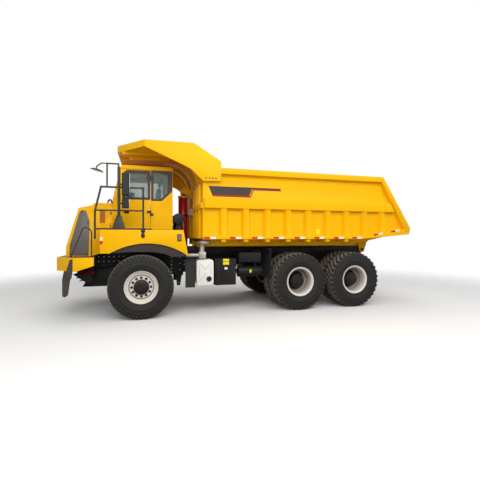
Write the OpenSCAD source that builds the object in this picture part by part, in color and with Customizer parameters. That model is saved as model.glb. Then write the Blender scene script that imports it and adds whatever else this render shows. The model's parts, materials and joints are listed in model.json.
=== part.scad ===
// Six-wheel mining dump truck with an offset cab and a rear-hinged body.
// Frame: +X forward, +Y to the left, +Z up, ground at z = 0, origin at the middle of the footprint.
// All lengths are millimetres.

/* [Wheels] */
// Diameter of a tyre over its lugs
tyre_d = 1370; // [1340:5:1390]
// Width of a tyre across its sidewalls
tyre_w = 375; // [340:5:385]
// Depth of the tread between the lugs
tread_depth = 26; // [15:1:35]
// Diameter of a rim's flange
rim_d = 700; // [680:5:720]
// Distance of the front axle ahead of the origin
front_axle_x = 2540; // [2530:5:2550]
// Distance from the front axle to the middle axle
wheelbase = 3650; // [3630:5:3670]
// Distance between the two driven axles
tandem_gap = 1500; // [1480:5:1520]
// Half the distance between the middles of the front tyres
front_track = 1362; // [1355:1:1368]
// Distance of an outer rear tyre's middle from the centre plane
dual_outer_y = 1412; // [1405:1:1420]
// Distance between the middles of two twin tyres
dual_gap = 432; // [425:1:440]

/* [Frame] */
// Half the width of the frame over its rails
rail_y = 500; // [495:1:505]
// Height of a rail's upper face above the ground
rail_top = 1500; // [1495:1:1505]
// Depth of a rail
rail_h = 450; // [430:5:470]
// Width of a rail's flange
rail_w = 120; // [110:1:130]
// Thickness of a rail's web and flanges
rail_t = 16; // [12:1:22]
// Distance of the bed's hinge behind the origin
hinge_back = 3560; // [3550:5:3570]
// Height of the bed's hinge above the ground
hinge_z = 1400; // [1395:1:1405]
// Radius of the hinge pin
hinge_pin_r = 40; // [30:1:45]

/* [Nose] */
// Foremost point of the truck, the bumper's face
nose_x = 4240; // [4230:5:4250]
// Half the width of the radiator shell
nose_y = 950; // [930:5:970]
// Thickness of the nose's sheet
nose_t = 20; // [12:1:30]
// Height of the bumper's upper edge
bumper_top = 1330; // [1325:1:1335]
// Depth of the bumper's face
bumper_h = 280; // [260:5:300]
// Thickness of the bumper's plate
bumper_t = 25; // [15:1:35]

/* [Deck] */
// Half the width of the truck over its fenders
fender_y = 1550; // [1545:1:1560]
// Height of the walking surface beside the cab
deck_z = 1900; // [1895:1:1905]
// Thickness of the deck plate
deck_t = 20; // [12:1:30]
// Thickness of the fender's sheet
fender_t = 20; // [12:1:30]
// Radius of the fender's arch
arch_r = 1460; // [1440:10:1480]
// Height of the arch's crown
arch_z = 1613; // [1605:1:1620]
// Diameter of the guard rail's tube
rail_tube_d = 40; // [30:1:48]

/* [Cab] */
// Distance of the cab's left wall from the centre plane
cab_left = 1000; // [990:1:1005]
// Width of the cab
cab_w = 1650; // [1600:5:1700]
// Distance of the cab's rear wall ahead of the origin
cab_rear = 1850; // [1845:1:1855]
// Height of the cab's roof
cab_top = 3360; // [3350:1:3370]
// Thickness of a cab wall
cab_t = 60; // [50:1:65]
// Thickness of the window glass
glass_t = 6; // [4:1:8]

/* [Bed] */
// Half the width of the bed over its ribs and rails
bed_y = 1650; // [1640:1:1660]
// Distance of a side plate's outer face from the centre plane
plate_y = 1550; // [1545:1:1555]
// Thickness of the side plates, floor and front wall
bed_t = 20; // [12:1:24]
// Height of the floor's upper face
floor_z = 1730; // [1725:1:1735]
// Distance of the front wall ahead of the origin
front_wall = 1240; // [1235:1:1245]
// Height of the bed's top rail
bed_top = 3280; // [3270:1:3290]
// Foremost edge of the canopy
canopy_front = 3060; // [3050:5:3070]
// Height of the canopy's roof
canopy_top = 3785; // [3780:1:3790]
// Distance between two side ribs
rib_pitch = 520; // [510:1:530]
// Rearmost point of the bed's tail
tail_back = 4240; // [4230:5:4250]

/* [Hoist] */
// Distance of the hoist ahead of the origin
hoist_x = 1510; // [1505:1:1515]
// Height of the hoist's trunnion
hoist_z = 1120; // [1115:1:1125]
// Height of the hoist's upper eye
hoist_eye_z = 2950; // [2945:1:2955]
// Radius of the hoist's barrel
hoist_r = 120; // [115:1:125]

/* [Hidden] */
$fn = 48;

// Running gaps
seat_gap = 0.3;
run_gap = 1;
skin = 0.5;
weld = 3;

// Colours
yellow = "#FBB900";
dark = "#4A443E";
black = "#1C1C1C";
pale = "#E6E3DB";
grey = "#8F8F8C";
red = "#8C1414";
glass = "#9FC4B8";

// Wheel and axle places
axle_z = tyre_d / 2;
mid_axle_x = front_axle_x - wheelbase;
rear_axle_x = mid_axle_x - tandem_gap;
tyre_r = tyre_d / 2;
rim_r = rim_d / 2;
bead_r = rim_r - 32;
barrel_r = bead_r - 22;
kingpin_y = front_track - 352;
hub_bore = 61;
spindle_r = hub_bore - run_gap;

// Rail places
rail_bottom = rail_top - rail_h;
rail_in = rail_y - rail_w;
rail_front = nose_x - 280;
hinge_x = -hinge_back;
bearer_z = floor_z - bed_t - 70;

// A box from its lowest and highest corners
module span(a, b) {
    translate(a) cube(b - a);
}

// A plate cut from an outline in the XZ plane, between two distances from the centre plane
module side_plate(points, y0, y1) {
    translate([0, y1, 0]) rotate([90, 0, 0]) linear_extrude(y1 - y0) polygon(points);
}

// A bar cut from an outline in the YZ plane, between two places along the truck
module cross_bar(points, x0, x1) {
    translate([x0, 0, 0]) rotate([90, 0, 90]) linear_extrude(x1 - x0) polygon(points);
}

// A round bar between two points
module rod(a, b, r) {
    d = b - a;
    translate(a) rotate([0, acos(d[2] / norm(d)), atan2(d[1], d[0])]) cylinder(r = r, h = norm(d));
}

// A round bar along the width, between two distances
module axle_rod(x, z, y0, y1, r) {
    translate([x, y1, z]) rotate([90, 0, 0]) cylinder(r = r, h = y1 - y0);
}

// Its children and their mirror image on the right
module both_sides() {
    children();
    mirror([0, 1, 0]) children();
}

// Points of an arc in its own plane
function arc(cx, cz, r, a0, a1, n) =
    [for (i = [0 : n]) let (a = a0 + (a1 - a0) * i / n) [cx + r * cos(a), cz + r * sin(a)]];

// Frame

cross_tubes_x = [-3300, -1860, -300, 800];
deck_beams_x = [cab_rear + 30, front_axle_x + 460];
deck_beam_h = 100;
mount_y = 440;

module rail() {
    y = rail_y;
    w = rail_in;
    points = [
        [y, rail_bottom], [y, rail_top], [w, rail_top], [w, rail_top - rail_t],
        [y - rail_t, rail_top - rail_t], [y - rail_t, rail_bottom + rail_t],
        [w, rail_bottom + rail_t], [w, rail_bottom]
    ];
    cross_bar(points, hinge_x, rail_front);
    axle_rod(hinge_x, hinge_z, rail_in, rail_y, hinge_pin_r + 45);
}

module chassis_frame() color(black) both_sides() {
    rail();
    axle_rod(hinge_x, hinge_z, rail_in, rail_y + 60, hinge_pin_r);
}

rear_bar_y = 720;
// What joins the rails: round cross tubes, the hoist's bearing blocks, and the bars that carry the flaps
module cross_members() color(black) {
    for (x = cross_tubes_x)
        axle_rod(x, rail_top - rail_h / 2, -rail_y + rail_t, rail_y - rail_t, 75);
    hoist_brackets();
    flap_bars();
    span([hinge_x, -rear_bar_y, rail_bottom - 90], [hinge_x + 100, rear_bar_y, rail_bottom]);
}

// Guard under the engine: two cheeks, a bottom plate and slats across the sloping front
guard_y = 393;
guard_t = 12;
guard_x = [3130, 3868];
guard_low = 590;
guard_front = [[3955, rail_bottom], [3955, 984], [4004, 976], [3800, 710], [guard_x[1], guard_low]];
module belly_guard() color(black) {
    both_sides() side_plate(concat(guard_front, [[guard_x[0], guard_low], [guard_x[0], rail_bottom]]),
        guard_y - guard_t, guard_y);
    span([guard_x[0], -guard_y, guard_low], [guard_x[1] - 15, guard_y, guard_low + guard_t]);
    for (i = [0 : 3]) let (x = 3830 + i * 48, z = 728 + i * 62)
        span([x - 60, -guard_y, z], [x, guard_y, z + 16]);
}

// Cross beams on posts carry the cab and the decks
module deck_beams() color(black) {
    post = 100;
    for (x = deck_beams_x) {
        span([x, -fender_y + fender_t, deck_z - deck_t - deck_beam_h],
            [x + post, fender_y - fender_t, deck_z - deck_t]);
        both_sides() span([x, mount_y - post / 2, rail_top],
            [x + post, mount_y + post / 2, deck_z - deck_t - deck_beam_h]);
        // Pads under the cab's floor
        both_sides() span([x, mount_y - post / 2, deck_z - deck_t], [x + post, mount_y + post / 2, deck_z]);
    }
}

// Two bearing blocks between the rails hold the hoist's trunnion
trunnion_r = 45;
trunnion_y = 200;
module hoist_brackets() {
    both_sides() difference() {
        union() {
            span([hoist_x - 90, trunnion_y, rail_bottom - 20], [hoist_x + 90, rail_in, hoist_z + 90]);
            span([hoist_x - 90, rail_in, rail_bottom + rail_t], [hoist_x + 90, rail_y - rail_t, hoist_z + 90]);
        }
        axle_rod(hoist_x, hoist_z, 0, rail_y, trunnion_r + run_gap);
    }
}

// Nose

fender_x = [1660, 3350];
fender_front_low = 1410;
bumper_side_x = 3470;
bumper_corner = [3860, 1500];
bumper_face_y = 1100;

module bumper_ring(inset, z0, z1) {
    y = bumper_corner[1] - inset;
    f = bumper_face_y - inset / 2;
    translate([0, 0, z0]) linear_extrude(z1 - z0) polygon([
        [bumper_side_x - inset, -y], [bumper_corner[0] - inset / 2, -y], [nose_x - inset, -f],
        [nose_x - inset, f], [bumper_corner[0] - inset / 2, y], [bumper_side_x - inset, y]
    ]);
}

module front_bumper() color(yellow) {
    z0 = bumper_top - bumper_h;
    difference() {
        bumper_ring(0, z0, bumper_top);
        bumper_ring(bumper_t, z0 - 1, bumper_top + 1);
        side_plate([[bumper_side_x - 1, z0 - 1], [bumper_corner[0] - 60, z0 - 1],
            [bumper_side_x - 1, z0 + 110]], -bumper_corner[1] - 1, bumper_corner[1] + 1);
        for (s = [-1, 1]) translate([nose_x - 60, s * 800, bumper_top - bumper_h / 2])
            rotate([0, 90, 0]) cylinder(r = 80, h = 100);
    }
    both_sides() span([rail_front, rail_in, z0 + 30], [nose_x - bumper_t, rail_y, bumper_top - 30]);
    both_sides() span([rail_front, rail_in, z0 - 60], [rail_front + 30, rail_y + 60, z0 + 30]);
}

// Tow hooks: plates under the rails, each with an eye for a shackle's pin
tow_x = 3850;
tow_z = 870;
tow_eye_r = 26;
tow_y = [420, 460];
module tow_hooks() color(red) {
    both_sides() difference() {
        side_plate([[tow_x - 250, rail_bottom], [tow_x - 250, tow_z - 50], [tow_x + 60, tow_z - 50],
            [tow_x + 60, tow_z + 60], [tow_x - 130, tow_z + 60], [tow_x - 130, rail_bottom]], tow_y[0], tow_y[1]);
        axle_rod(tow_x, tow_z, tow_y[0] - 1, tow_y[1] + 1, tow_eye_r);
    }
}

// Steps hang from the bumper's left corner on two straps
ladder_y = [880, 1280];
strap_w = 40;
step_z = [430, 640, 850];
module front_ladder() color(dark) {
    z0 = bumper_top - bumper_h;
    strap = [[3925, z0 - seat_gap], [3966, 860], [3986, 350], [4096, 350], [4096, 860], [4060, z0 - seat_gap]];
    for (y = ladder_y) side_plate(strap, y, y + strap_w);
    for (z = step_z) span([3996, ladder_y[0] + strap_w, z], [4086, ladder_y[1], z + 30]);
}

nose_front = [[4100, bumper_top], [4095, 1542], [3850, 2380]];
cowl_x = 3150;
cowl_top = 2450;
hood_joint = 3560;

module nose_outline(inset) {
    // The sheet is as thick on the slope as on the sides
    polygon([
        [hood_joint + 30, bumper_top - inset], [nose_front[0][0] - inset, bumper_top - inset],
        [nose_front[1][0] - inset, nose_front[1][1]], [nose_front[2][0] - inset, nose_front[2][1] - inset],
        [hood_joint, cowl_top - inset], [hood_joint, 1880]
    ]);
}

module nose_shell() color(yellow) {
    difference() {
        translate([0, nose_y, 0]) rotate([90, 0, 0]) linear_extrude(2 * nose_y) nose_outline(0);
        translate([0, nose_y - nose_t, 0]) rotate([90, 0, 0]) linear_extrude(2 * nose_y - 2 * nose_t)
            nose_outline(nose_t);
        span([hood_joint - 1, -nose_y + nose_t, 1300], [nose_front[0][0] - 200, nose_y - nose_t, 2300]);
        span([3700, -nose_y + nose_t, 1300], [4000, nose_y - nose_t, 1400]);
        grille_cut(0);
    }
    both_sides() difference() {
        side_plate([[cowl_x, deck_z], [hood_joint, deck_z], [hood_joint, cowl_top], [cowl_x, cowl_top]],
            nose_y - nose_t, nose_y);
        span([vent[0][0], nose_y - nose_t - 1, vent[0][1]], [vent[1][0], nose_y + 1, vent[1][1]]);
    }
    // Sheet between the fender's front and the grille box
    both_sides() side_plate([[fender_x[1] + 5, fender_front_low], [hood_joint + 40, bumper_top],
        [hood_joint + 40, deck_z + 10], [fender_x[1] + 5, deck_z + 10]], nose_y - nose_t, nose_y);
    hood_pins();
    hood_step();
}

// A yellow step beside the nose, and the vent in the sheet above it
step_x = [3195, 3353];
step_h = 150;
vent = [[3323, 2115], [3425, 2344]];
module hood_step() {
    span([step_x[0], nose_y - weld, deck_z + seat_gap], [step_x[1], nose_y + 250, deck_z + step_h]);
}

// Two hinges join the hood to the nose: the nose has the middle knuckle and the pin, the hood an outer pair
hood_knuckle_r = 12;
hood_hinge = [hood_joint + hood_knuckle_r + run_gap, cowl_top + 14];
hood_hinge_y = 600;
hood_knuckle_w = 60;
hood_pin_r = 5;
module hood_pins() both_sides() {
    y0 = hood_hinge_y - hood_knuckle_w / 2;
    y1 = hood_hinge_y + hood_knuckle_w / 2;
    axle_rod(hood_hinge[0], hood_hinge[1], y0, y1, hood_knuckle_r);
    axle_rod(hood_hinge[0], hood_hinge[1], y0 - 40, y1 + 40, hood_pin_r);
    span([hood_hinge[0] - 8, y0, cowl_top - nose_t], [hood_hinge[0] + 8, y1, hood_hinge[1]]);
}

module hood_knuckles() both_sides() {
    w = hood_knuckle_w / 2 + seat_gap;
    for (y = [hood_hinge_y - w - 40, hood_hinge_y + w]) difference() {
        union() {
            axle_rod(hood_hinge[0], hood_hinge[1], y, y + 40, hood_knuckle_r);
            span([hood_joint - 8, y, hood_hinge[1]], [hood_hinge[0], y + 40, hood_hinge[1] + hood_knuckle_r]);
        }
        axle_rod(hood_hinge[0], hood_hinge[1], y - 1, y + 41, hood_pin_r + seat_gap);
    }
}

// The opening for the grille in the sloping front
module grille_cut(gap) {
    y = nose_y - 230 - gap;
    side_plate([[3700, 1450 + gap], [4200, 1450 + gap], [4200, 1560], [3980, 2290 - gap], [3700, 2290 - gap]], -y, y);
}

// Dark side panels, and the grille with its slats in the front opening
module nose_trim() color(dark) {
    panel = [[4030, 1345], [4025, 1560], [3830, 2290], [3780, 2335], [3700, 2320], [3630, 2095], [3650, 1345]];
    both_sides() side_plate(panel, nose_y, nose_y + 8);
    intersection() {
        grille_cut(seat_gap);
        translate([0, nose_y, 0]) rotate([90, 0, 0]) linear_extrude(2 * nose_y) difference() {
            nose_outline(2);
            nose_outline(60);
        }
        union() {
            for (i = [0 : 7]) span([3600, -nose_y, 1470 + i * 104], [4200, nose_y, 1510 + i * 104]);
            for (y = [-700, 0, 680]) span([3600, y, 1400], [4200, y + 40, 2400]);
        }
    }
}

module hood() color(yellow) {
    low = cowl_top + skin;
    top = [[cowl_x + 10, low], [hood_joint, low], [hood_joint, cowl_top + 30],
        [hood_joint - 60, cowl_top + 50], [cowl_x + 10, cowl_top + 50]];
    side_plate(top, -nose_y, nose_y);
    hood_knuckles();
}

// Fenders and decks

fender_low = [1560, 1340];
arch_cx = front_axle_x - 120;
liner_turn = [62, 124];

module fender_side() {
    top = deck_z;
    difference() {
        side_plate([fender_low, [fender_x[0], top], [fender_x[1], top], [fender_x[1], fender_front_low],
            [fender_x[1] - 120, fender_front_low]], fender_y - fender_t, fender_y);
        axle_rod(arch_cx, arch_z - arch_r, fender_y - 2 * fender_t, fender_y + fender_t, arch_r, $fn = 360);
    }
}

module fender_left() color(yellow) fender();
module fender_right() color(yellow) mirror([0, 1, 0]) fender();

module fender() {
    top = deck_z - deck_t;
    fender_side();
    // Front and rear closing plates
    span([fender_x[1] - fender_t, nose_y + 40, fender_front_low], [fender_x[1], fender_y - fender_t, top]);
    span([fender_x[0], cab_left + 20, arch_z - 180], [fender_x[0] + fender_t, fender_y - fender_t, top]);
}

// Rubber arch liners and mud flaps
flap_t = 10;
mid_flap_x = mid_axle_x + tyre_r + 45;
front_flap_x = 1500;
flap_bar = 40;
module mudguards() color(black) {
    both_sides() {
        rotate([90, 0, 0]) translate([0, 0, 2 - fender_y]) linear_extrude(fender_y - 2 - nose_y)
            polygon(concat(
                arc(arch_cx, arch_z - arch_r, arch_r - seat_gap, liner_turn[1], liner_turn[0], 16),
                arc(arch_cx, arch_z - arch_r, arch_r - 12, liner_turn[0], liner_turn[1], 16)));
        span([mid_flap_x, 800, 790], [mid_flap_x + flap_t, 1520, 1480]);
        span([front_flap_x, 860, 600], [front_flap_x + flap_t, 1280, 1300]);
        // Its outer edge is folded along the truck
        span([front_flap_x - 130, 1280 - flap_t, 605], [front_flap_x + 90, 1280, 1290]);
    }
}

// Bars that carry the flaps from the rails
module flap_bars() {
    both_sides() {
        span([mid_flap_x + flap_t, rail_y, 1440], [mid_flap_x + flap_t + flap_bar, 1500, 1480]);
        span([front_flap_x + flap_t, rail_y, 1250], [front_flap_x + flap_t + flap_bar, 1270, 1290]);
    }
}

// Edge strips, rails and posts, all of one dark paint
rail_y0 = fender_y - 30;
hand_r = rail_tube_d / 2;
module deck_rails() color(dark) {
    deck_plate();
    both_sides() guard_rail();
    mirror_post();
}

module deck_plate() {
    side = fender_y - fender_t;
    span([fender_x[0], cab_left + 10, deck_z - deck_t], [fender_x[1], side, deck_z]);
    span([fender_x[0], -side, deck_z - deck_t], [fender_x[1], cab_right - 10, deck_z]);
    // Kick rail along the walkway
    both_sides() span([2330, rail_y0 - 5, deck_z], [rail_front_x, rail_y0 + 15, deck_z + 35]);
}

module bar_path(points, r) {
    for (i = [0 : len(points) - 2]) rod(points[i], points[i + 1], r);
    // Each bend has a slightly larger ball, as a weld has
    for (i = [1 : len(points) - 2]) translate(points[i]) sphere(r = r + weld);
}

rail_front_x = fender_x[1] + 95;
module guard_rail() {
    y = rail_y0;
    bar_path([[rail_front_x, y, 1710], [rail_front_x, y, 2285], [rail_front_x - 115, y, 2780],
        [2501, y, 2780], [2501, y, deck_z]], hand_r);
    rod([rail_front_x - 5, y, 2300], [2501, y, 2300], hand_r - 4);
}

post_x = 2985;
hoop_z = 3262;
hoop_front = 3300;
mirror_arm_r = 12;
module mirror_post() {
    y = rail_y0;
    both_sides() {
        side_plate([[post_x - 137, deck_z], [post_x + 137, deck_z], [post_x + 45, 2200], [post_x - 45, 2200]],
            y - 20, y + 20);
        rod([post_x, y, 2190], [post_x, y, 3200], 31);
    }
    // Arms hold the mirror heads
    both_sides() for (m = mirror_boxes)
        span([m[1] - 60, y, (m[2] + m[3]) / 2 - 15], [post_x, y + 30, (m[2] + m[3]) / 2 + 15]);
    // The hoop over the front of the cab carries the front mirror
    bar_path([[3214, y, 2780], [3214, y, hoop_z], [post_x + 10, y, hoop_z], [post_x, y, 3190]], hand_r - 4);
    rod([3214, y, hoop_z], [hoop_front, y, hoop_z], mirror_arm_r);
}

// Mirror heads: the low and high corner of each box beside its post
mirror_boxes = [
    // x0, x1, z0, z1
    [2770, 2925, 2600, 3080],
    [2780, 2925, 2340, 2545]
];
module mirrors() color(black) {
    both_sides() for (m = mirror_boxes) span([m[0], rail_y0 + 30, m[2]], [m[1], rail_y0 + 100, m[3]]);
    rod([hoop_front, rail_y0, hoop_z], [hoop_front + 16, rail_y0, hoop_z], mirror_arm_r);
    rod([hoop_front + 13, rail_y0, hoop_z], [3420, rail_y0, 3190], mirror_arm_r);
    rod([3415, rail_y0, 3200], [3415, rail_y0, 3120], mirror_arm_r);
    translate([3410, rail_y0, 3100]) rotate([0, -14, 0]) cylinder(r = 128, h = 40);
}

// Lamps: discs in the bumper and blocks on the fenders
module lamps() color(pale) {
    both_sides() {
        translate([nose_x - bumper_t, 800, bumper_top - bumper_h / 2]) rotate([0, 90, 0]) {
            translate([0, 0, -20]) cylinder(r = 95, h = 20 - seat_gap);
            translate([0, 0, -5]) cylinder(r = 78, h = 26);
        }
        span([1700, fender_y, 1690], [1760, fender_y + 30, 1780]);
        span([hinge_x - 45, rear_bar_y - 230, rail_bottom - 80], [hinge_x, rear_bar_y - 10, rail_bottom - 10]);
    }
}

// Cab

cab_right = cab_left - cab_w;
cab_front_low = 3140;
cab_front_mid = 3150;
cab_front_top = 2990;
sill_z = 2600;
door_x = [2343, 2960];
door_z = [1990, cab_top - 98];
window_top = cab_top - 130;
cab_side = [
    [cab_rear, deck_z], [cab_front_low, deck_z], [cab_front_mid, sill_z], [cab_front_top, cab_top - 90],
    [cab_rear, cab_top - 90]
];

module cab_shell() color(yellow) {
    t = cab_t;
    difference() {
        side_plate(cab_side, cab_right, cab_left);
        side_plate([[cab_rear + t, deck_z + t], [cab_front_low - t, deck_z + t], [cab_front_mid - t, sill_z],
            [cab_front_top - t, cab_top], [cab_rear + t, cab_top]], cab_right + t, cab_left - t);
        // Windscreen
        side_plate([[3000, sill_z + 40], [3300, sill_z + 40], [3300, window_top], [2900, window_top]],
            cab_right + 80, cab_left - 80);
        // Door opening
        side_plate(door_outline(0, door_z[0]), cab_left - t - 1, cab_left + 1);
        // Quarter window on the left and the windows on the right and at the back
        side_plate(quarter_window, cab_left - t - 1, cab_left + 1);
        side_plate(right_window, cab_right - 1, cab_right + t + 1);
        span([cab_rear - 1, cab_right + 200, sill_z + 60], [cab_rear + t + 1, cab_left - 200, window_top]);
    }
    cab_hinges();
}

quarter_window = [[1950, sill_z + 170], [2120, sill_z + 20], [2285, sill_z + 20], [2285, window_top],
    [1950, window_top - 50]];
right_window = [[2000, sill_z + 40], [2900, sill_z + 40], [2880, window_top], [2000, window_top]];

module cab_roof() color(yellow) {
    z0 = cab_top - 90;
    difference() {
        side_plate([[cab_rear - 10, z0], [cab_front_top + 20, z0], [cab_front_top - 10, z0 + 60],
            [cab_front_top - 60, cab_top], [cab_rear + 20, cab_top], [cab_rear - 10, z0 + 60]],
            cab_right - 10, cab_left + 10);
        span([cab_rear + cab_t, cab_right + cab_t, z0 - 1], [cab_front_top - cab_t, cab_left - cab_t, cab_top - 40]);
    }
}

// The windscreen follows the slope of the pillars
screen_slope = (cab_front_mid - cab_front_top) / (cab_top - 90 - sill_z);
function screen_x(z) = cab_front_mid - 30 - (z - sill_z) * screen_slope;

module cab_glass() color(glass, 0.6) {
    g = glass_t;
    mid = cab_t / 2;
    side_plate(quarter_window, cab_left - mid - g, cab_left - mid);
    side_plate(right_window, cab_right + mid, cab_right + mid + g);
    span([cab_rear + mid, cab_right + 200, sill_z + 60], [cab_rear + mid + g, cab_left - 200, window_top]);
    zl = sill_z + 40;
    zh = window_top;
    side_plate([[screen_x(zl), zl], [screen_x(zl) + g, zl], [screen_x(zh) + g, zh], [screen_x(zh), zh]],
        cab_right + 80, cab_left - 80);
}

seat_y = 480;
module cab_seat() color(black) {
    y = seat_y;
    floor_top = deck_z + cab_t;
    span([2200, y - 150, floor_top], [2500, y + 150, floor_top + 330]);
    span([2130, y - 250, floor_top + 330], [2620, y + 250, floor_top + 470]);
    side_plate([[2130, floor_top + 470], [2260, floor_top + 470], [2170, 3150], [2060, 3150]], y - 240, y + 240);
}

wheel_hub = [2790, seat_y, 2680];
module cab_dash() color(black) {
    floor_top = deck_z + cab_t;
    side_plate([[2900, floor_top], [cab_front_low - cab_t, floor_top], [cab_front_mid - cab_t - 2, sill_z - 5],
        [2960, sill_z - 40], [2900, 2450]], cab_right + cab_t, cab_left - cab_t - door_gap);
    rod([2930, wheel_hub[1], 2480], wheel_hub, 30);
    translate(wheel_hub) rotate([0, -35, 0]) {
        rotate_extrude() translate([210, 0]) circle(r = 16, $fn = 16);
        cylinder(r = 50, h = 30, center = true);
        for (a = [0, 120, 240]) rotate([0, 0, a]) translate([0, -12, -8]) cube([205, 24, 16]);
    }
}

door_gap = 6;
door_sill = 2640;
door_frame = 55;
door_cut = 100;

// Outline of the door, or of its window, with the upper front corner cut off
function door_outline(inset, low) = [
    [door_x[0] + inset, low], [door_x[1] - inset, low], [door_x[1] - inset, door_z[1] - door_cut - inset / 2],
    [door_x[1] - door_cut - inset / 2, door_z[1] - inset], [door_x[0] + inset, door_z[1] - inset]
];

module door() color(yellow) {
    difference() {
        side_plate(door_outline(door_gap, door_z[0] + door_gap), cab_left - cab_t, cab_left);
        side_plate(door_outline(door_gap + door_frame, door_sill), cab_left - cab_t - 1, cab_left + 1);
    }
    door_hinges();
}

// Two hinges on the door's rear edge: the cab's leaf below carries the pin, the door's leaf above turns on it
hinge_y = cab_left + 15;
door_hinges_z = [door_z[0] + 300, door_z[1] - 182];
hinge_leaf = 8;
hinge_knuckle_r = 14;
hinge_knuckle_h = 60;
door_pin_r = 6;
module hinge_leaf_at(x0, x1, z) {
    span([x0, cab_left, z], [x1, cab_left + hinge_leaf, z + hinge_knuckle_h]);
    translate([door_x[0], hinge_y, z]) cylinder(r = hinge_knuckle_r, h = hinge_knuckle_h);
}

module cab_hinges() {
    for (z = door_hinges_z) {
        hinge_leaf_at(door_x[0] - 60, door_x[0], z - hinge_knuckle_h);
        translate([door_x[0], hinge_y, z - 10]) cylinder(r = door_pin_r, h = hinge_knuckle_h);
    }
}

module door_hinges() difference() {
    for (z = door_hinges_z) hinge_leaf_at(door_x[0] + run_gap, door_x[0] + 80, z + seat_gap);
    for (z = door_hinges_z)
        translate([door_x[0], hinge_y, z - 1]) cylinder(r = door_pin_r + seat_gap, h = hinge_knuckle_h + 10);
}

module door_glass() color(glass, 0.6) {
    mid = cab_left - cab_t / 2;
    side_plate(door_outline(door_gap + door_frame, door_sill), mid - glass_t, mid);
}

// Engine and driveline

module power_unit() color(black) {
    span([2250, -330, 960], [3250, 330, 1680]);
    span([gearbox_rear[0], -220, gearbox_rear[1] - 100], [2250, 220, 1300]);
    // Mounts on the rails
    for (x = [2350, 3050]) both_sides() span([x, 330, 1200], [x + 80, rail_y - rail_t, 1260]);
    // Radiator core behind the grille, standing on the rails
    span([3580, -700, rail_top], [3680, 700, 2200]);
}

shaft_r = 55;
flange_r = 85;
flange_t = 40;
input_z = axle_z + 115;
gearbox_rear = [1850, 900];
module shaft(x0, z0, x1, z1) {
    rod([x0 + flange_t / 2, 0, z0], [x1 - flange_t / 2, 0, z1], shaft_r);
    rod([x0, 0, z0], [x0 + flange_t, 0, z0], flange_r);
    rod([x1 - flange_t, 0, z1], [x1, 0, z1], flange_r);
}

module drive_shafts() color(black) {
    shaft(mid_axle_x + 330, input_z, gearbox_rear[0], gearbox_rear[1]);
    shaft(rear_axle_x + 330, axle_z, mid_axle_x - 330, axle_z);
}

module air_cleaner() color(black) {
    axle_rod(1700, 2180, 260, 880, 130);
    span([1640, 300, deck_z], [1760, 380, 2080]);
    span([1640, 760, deck_z], [1760, 840, 2080]);
    span([1640, 280, deck_z - 60], [deck_beams_x[0], 860, deck_z - deck_t]);
    span([1640, 280, deck_z - deck_t], [1760, 860, deck_z]);
}

exhaust_y = 1360;
module exhaust() color(grey) {
    y = exhaust_y;
    rod([1590, y, 1340], [1300, y, 1340], 45);
    span([1150, y - 75, 1262], [1305, y + 75, 1415]);
    rod([1228, y, 1410], [1228, y, 1640], 60);
    // Flat rain cap
    translate([1172, y, 1597]) cylinder(r = 150, h = 60);
    // Hanger from the rail
    span([1200, rail_y, 1310], [1240, y - 75, 1350]);
}

// Outline of a rectangle with rounded corners, from its low and high corner
function round_rect(a, b, r) = concat(
    arc(a[0] + r, a[1] + r, r, 180, 270, 5), arc(b[0] - r, a[1] + r, r, 270, 360, 5),
    arc(b[0] - r, b[1] - r, r, 0, 90, 5), arc(a[0] + r, b[1] - r, r, 90, 180, 5));

module urea_tank() color(pale) {
    side_plate(round_rect([967, 660], [1343, 1240], 70), 1050, 1400);
    for (x = [1020, 1250]) span([x, rail_y, 1100], [x + 50, 1050, 1150]);
}

// The step box over the air tank reaches from the flap of the middle wheels to the tank in front of it
step_box_x = [mid_flap_x + 210, 365];
air_tank_x = [mid_flap_x + 130, 350];
battery_x = [440, 930];
module side_tanks() color(black) {
    both_sides() {
        span([battery_x[0], 980, 650], [battery_x[1], 1400, 1250]);
        span([step_box_x[0], 1000, 1166], [step_box_x[1], 1400, 1383]);
        rod([air_tank_x[0], 1200, 932], [air_tank_x[1], 1200, 932], 130);
        for (x = [step_box_x[0] + 50, step_box_x[1] - 125]) span([x, 1170, 1040], [x + 60, 1230, 1170]);
        // Brackets from the rail
        for (x = [battery_x[0] + 60, battery_x[1] - 80]) span([x, rail_y, 1100], [x + 60, 980, 1160]);
        for (x = [step_box_x[0] + 20, step_box_x[1] - 75]) span([x, rail_y, 1220], [x + 60, 1000, 1280]);
    }
}

// Axles

spring_y = 440;
module front_axle() color(black) {
    z = axle_z;
    span([front_axle_x - 65, -kingpin_y + 60, z - 65], [front_axle_x + 65, kingpin_y - 60, z + 65]);
    both_sides() difference() {
        translate([front_axle_x, kingpin_y, z - 65]) cylinder(r = 70, h = 130);
        translate([front_axle_x, kingpin_y, z - 66]) cylinder(r = kingpin_r + 0.05, h = 132);
    }
    both_sides() span([front_axle_x - 65, spring_y - 50, z + 65], [front_axle_x + 65, spring_y + 50, z + 100]);
}

module drive_axle(x) {
    tube_end = dual_outer_y - dual_gap + 170;
    axle_rod(x, axle_z, -tube_end, tube_end, 110);
    axle_rod(x, axle_z, -130, 130, 270);
    both_sides() {
        axle_rod(x, axle_z, tube_end, dual_outer_y - 10, spindle_r + 20);
        axle_rod(x, axle_z, dual_outer_y - dual_gap - 60, tube_end - 40, 230);
        span([x - 60, spring_y - 50, axle_z + 90], [x + 60, spring_y + 50, axle_z + 180]);
    }
    z = x == mid_axle_x ? input_z : axle_z;
    rod([x + 200, 0, z], [x + 330, 0, z], 90);
}

module drive_axles() color(black) {
    drive_axle(mid_axle_x);
    drive_axle(rear_axle_x);
    rod([mid_axle_x - 330, 0, axle_z], [mid_axle_x - 200, 0, axle_z], 90);
}

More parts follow.
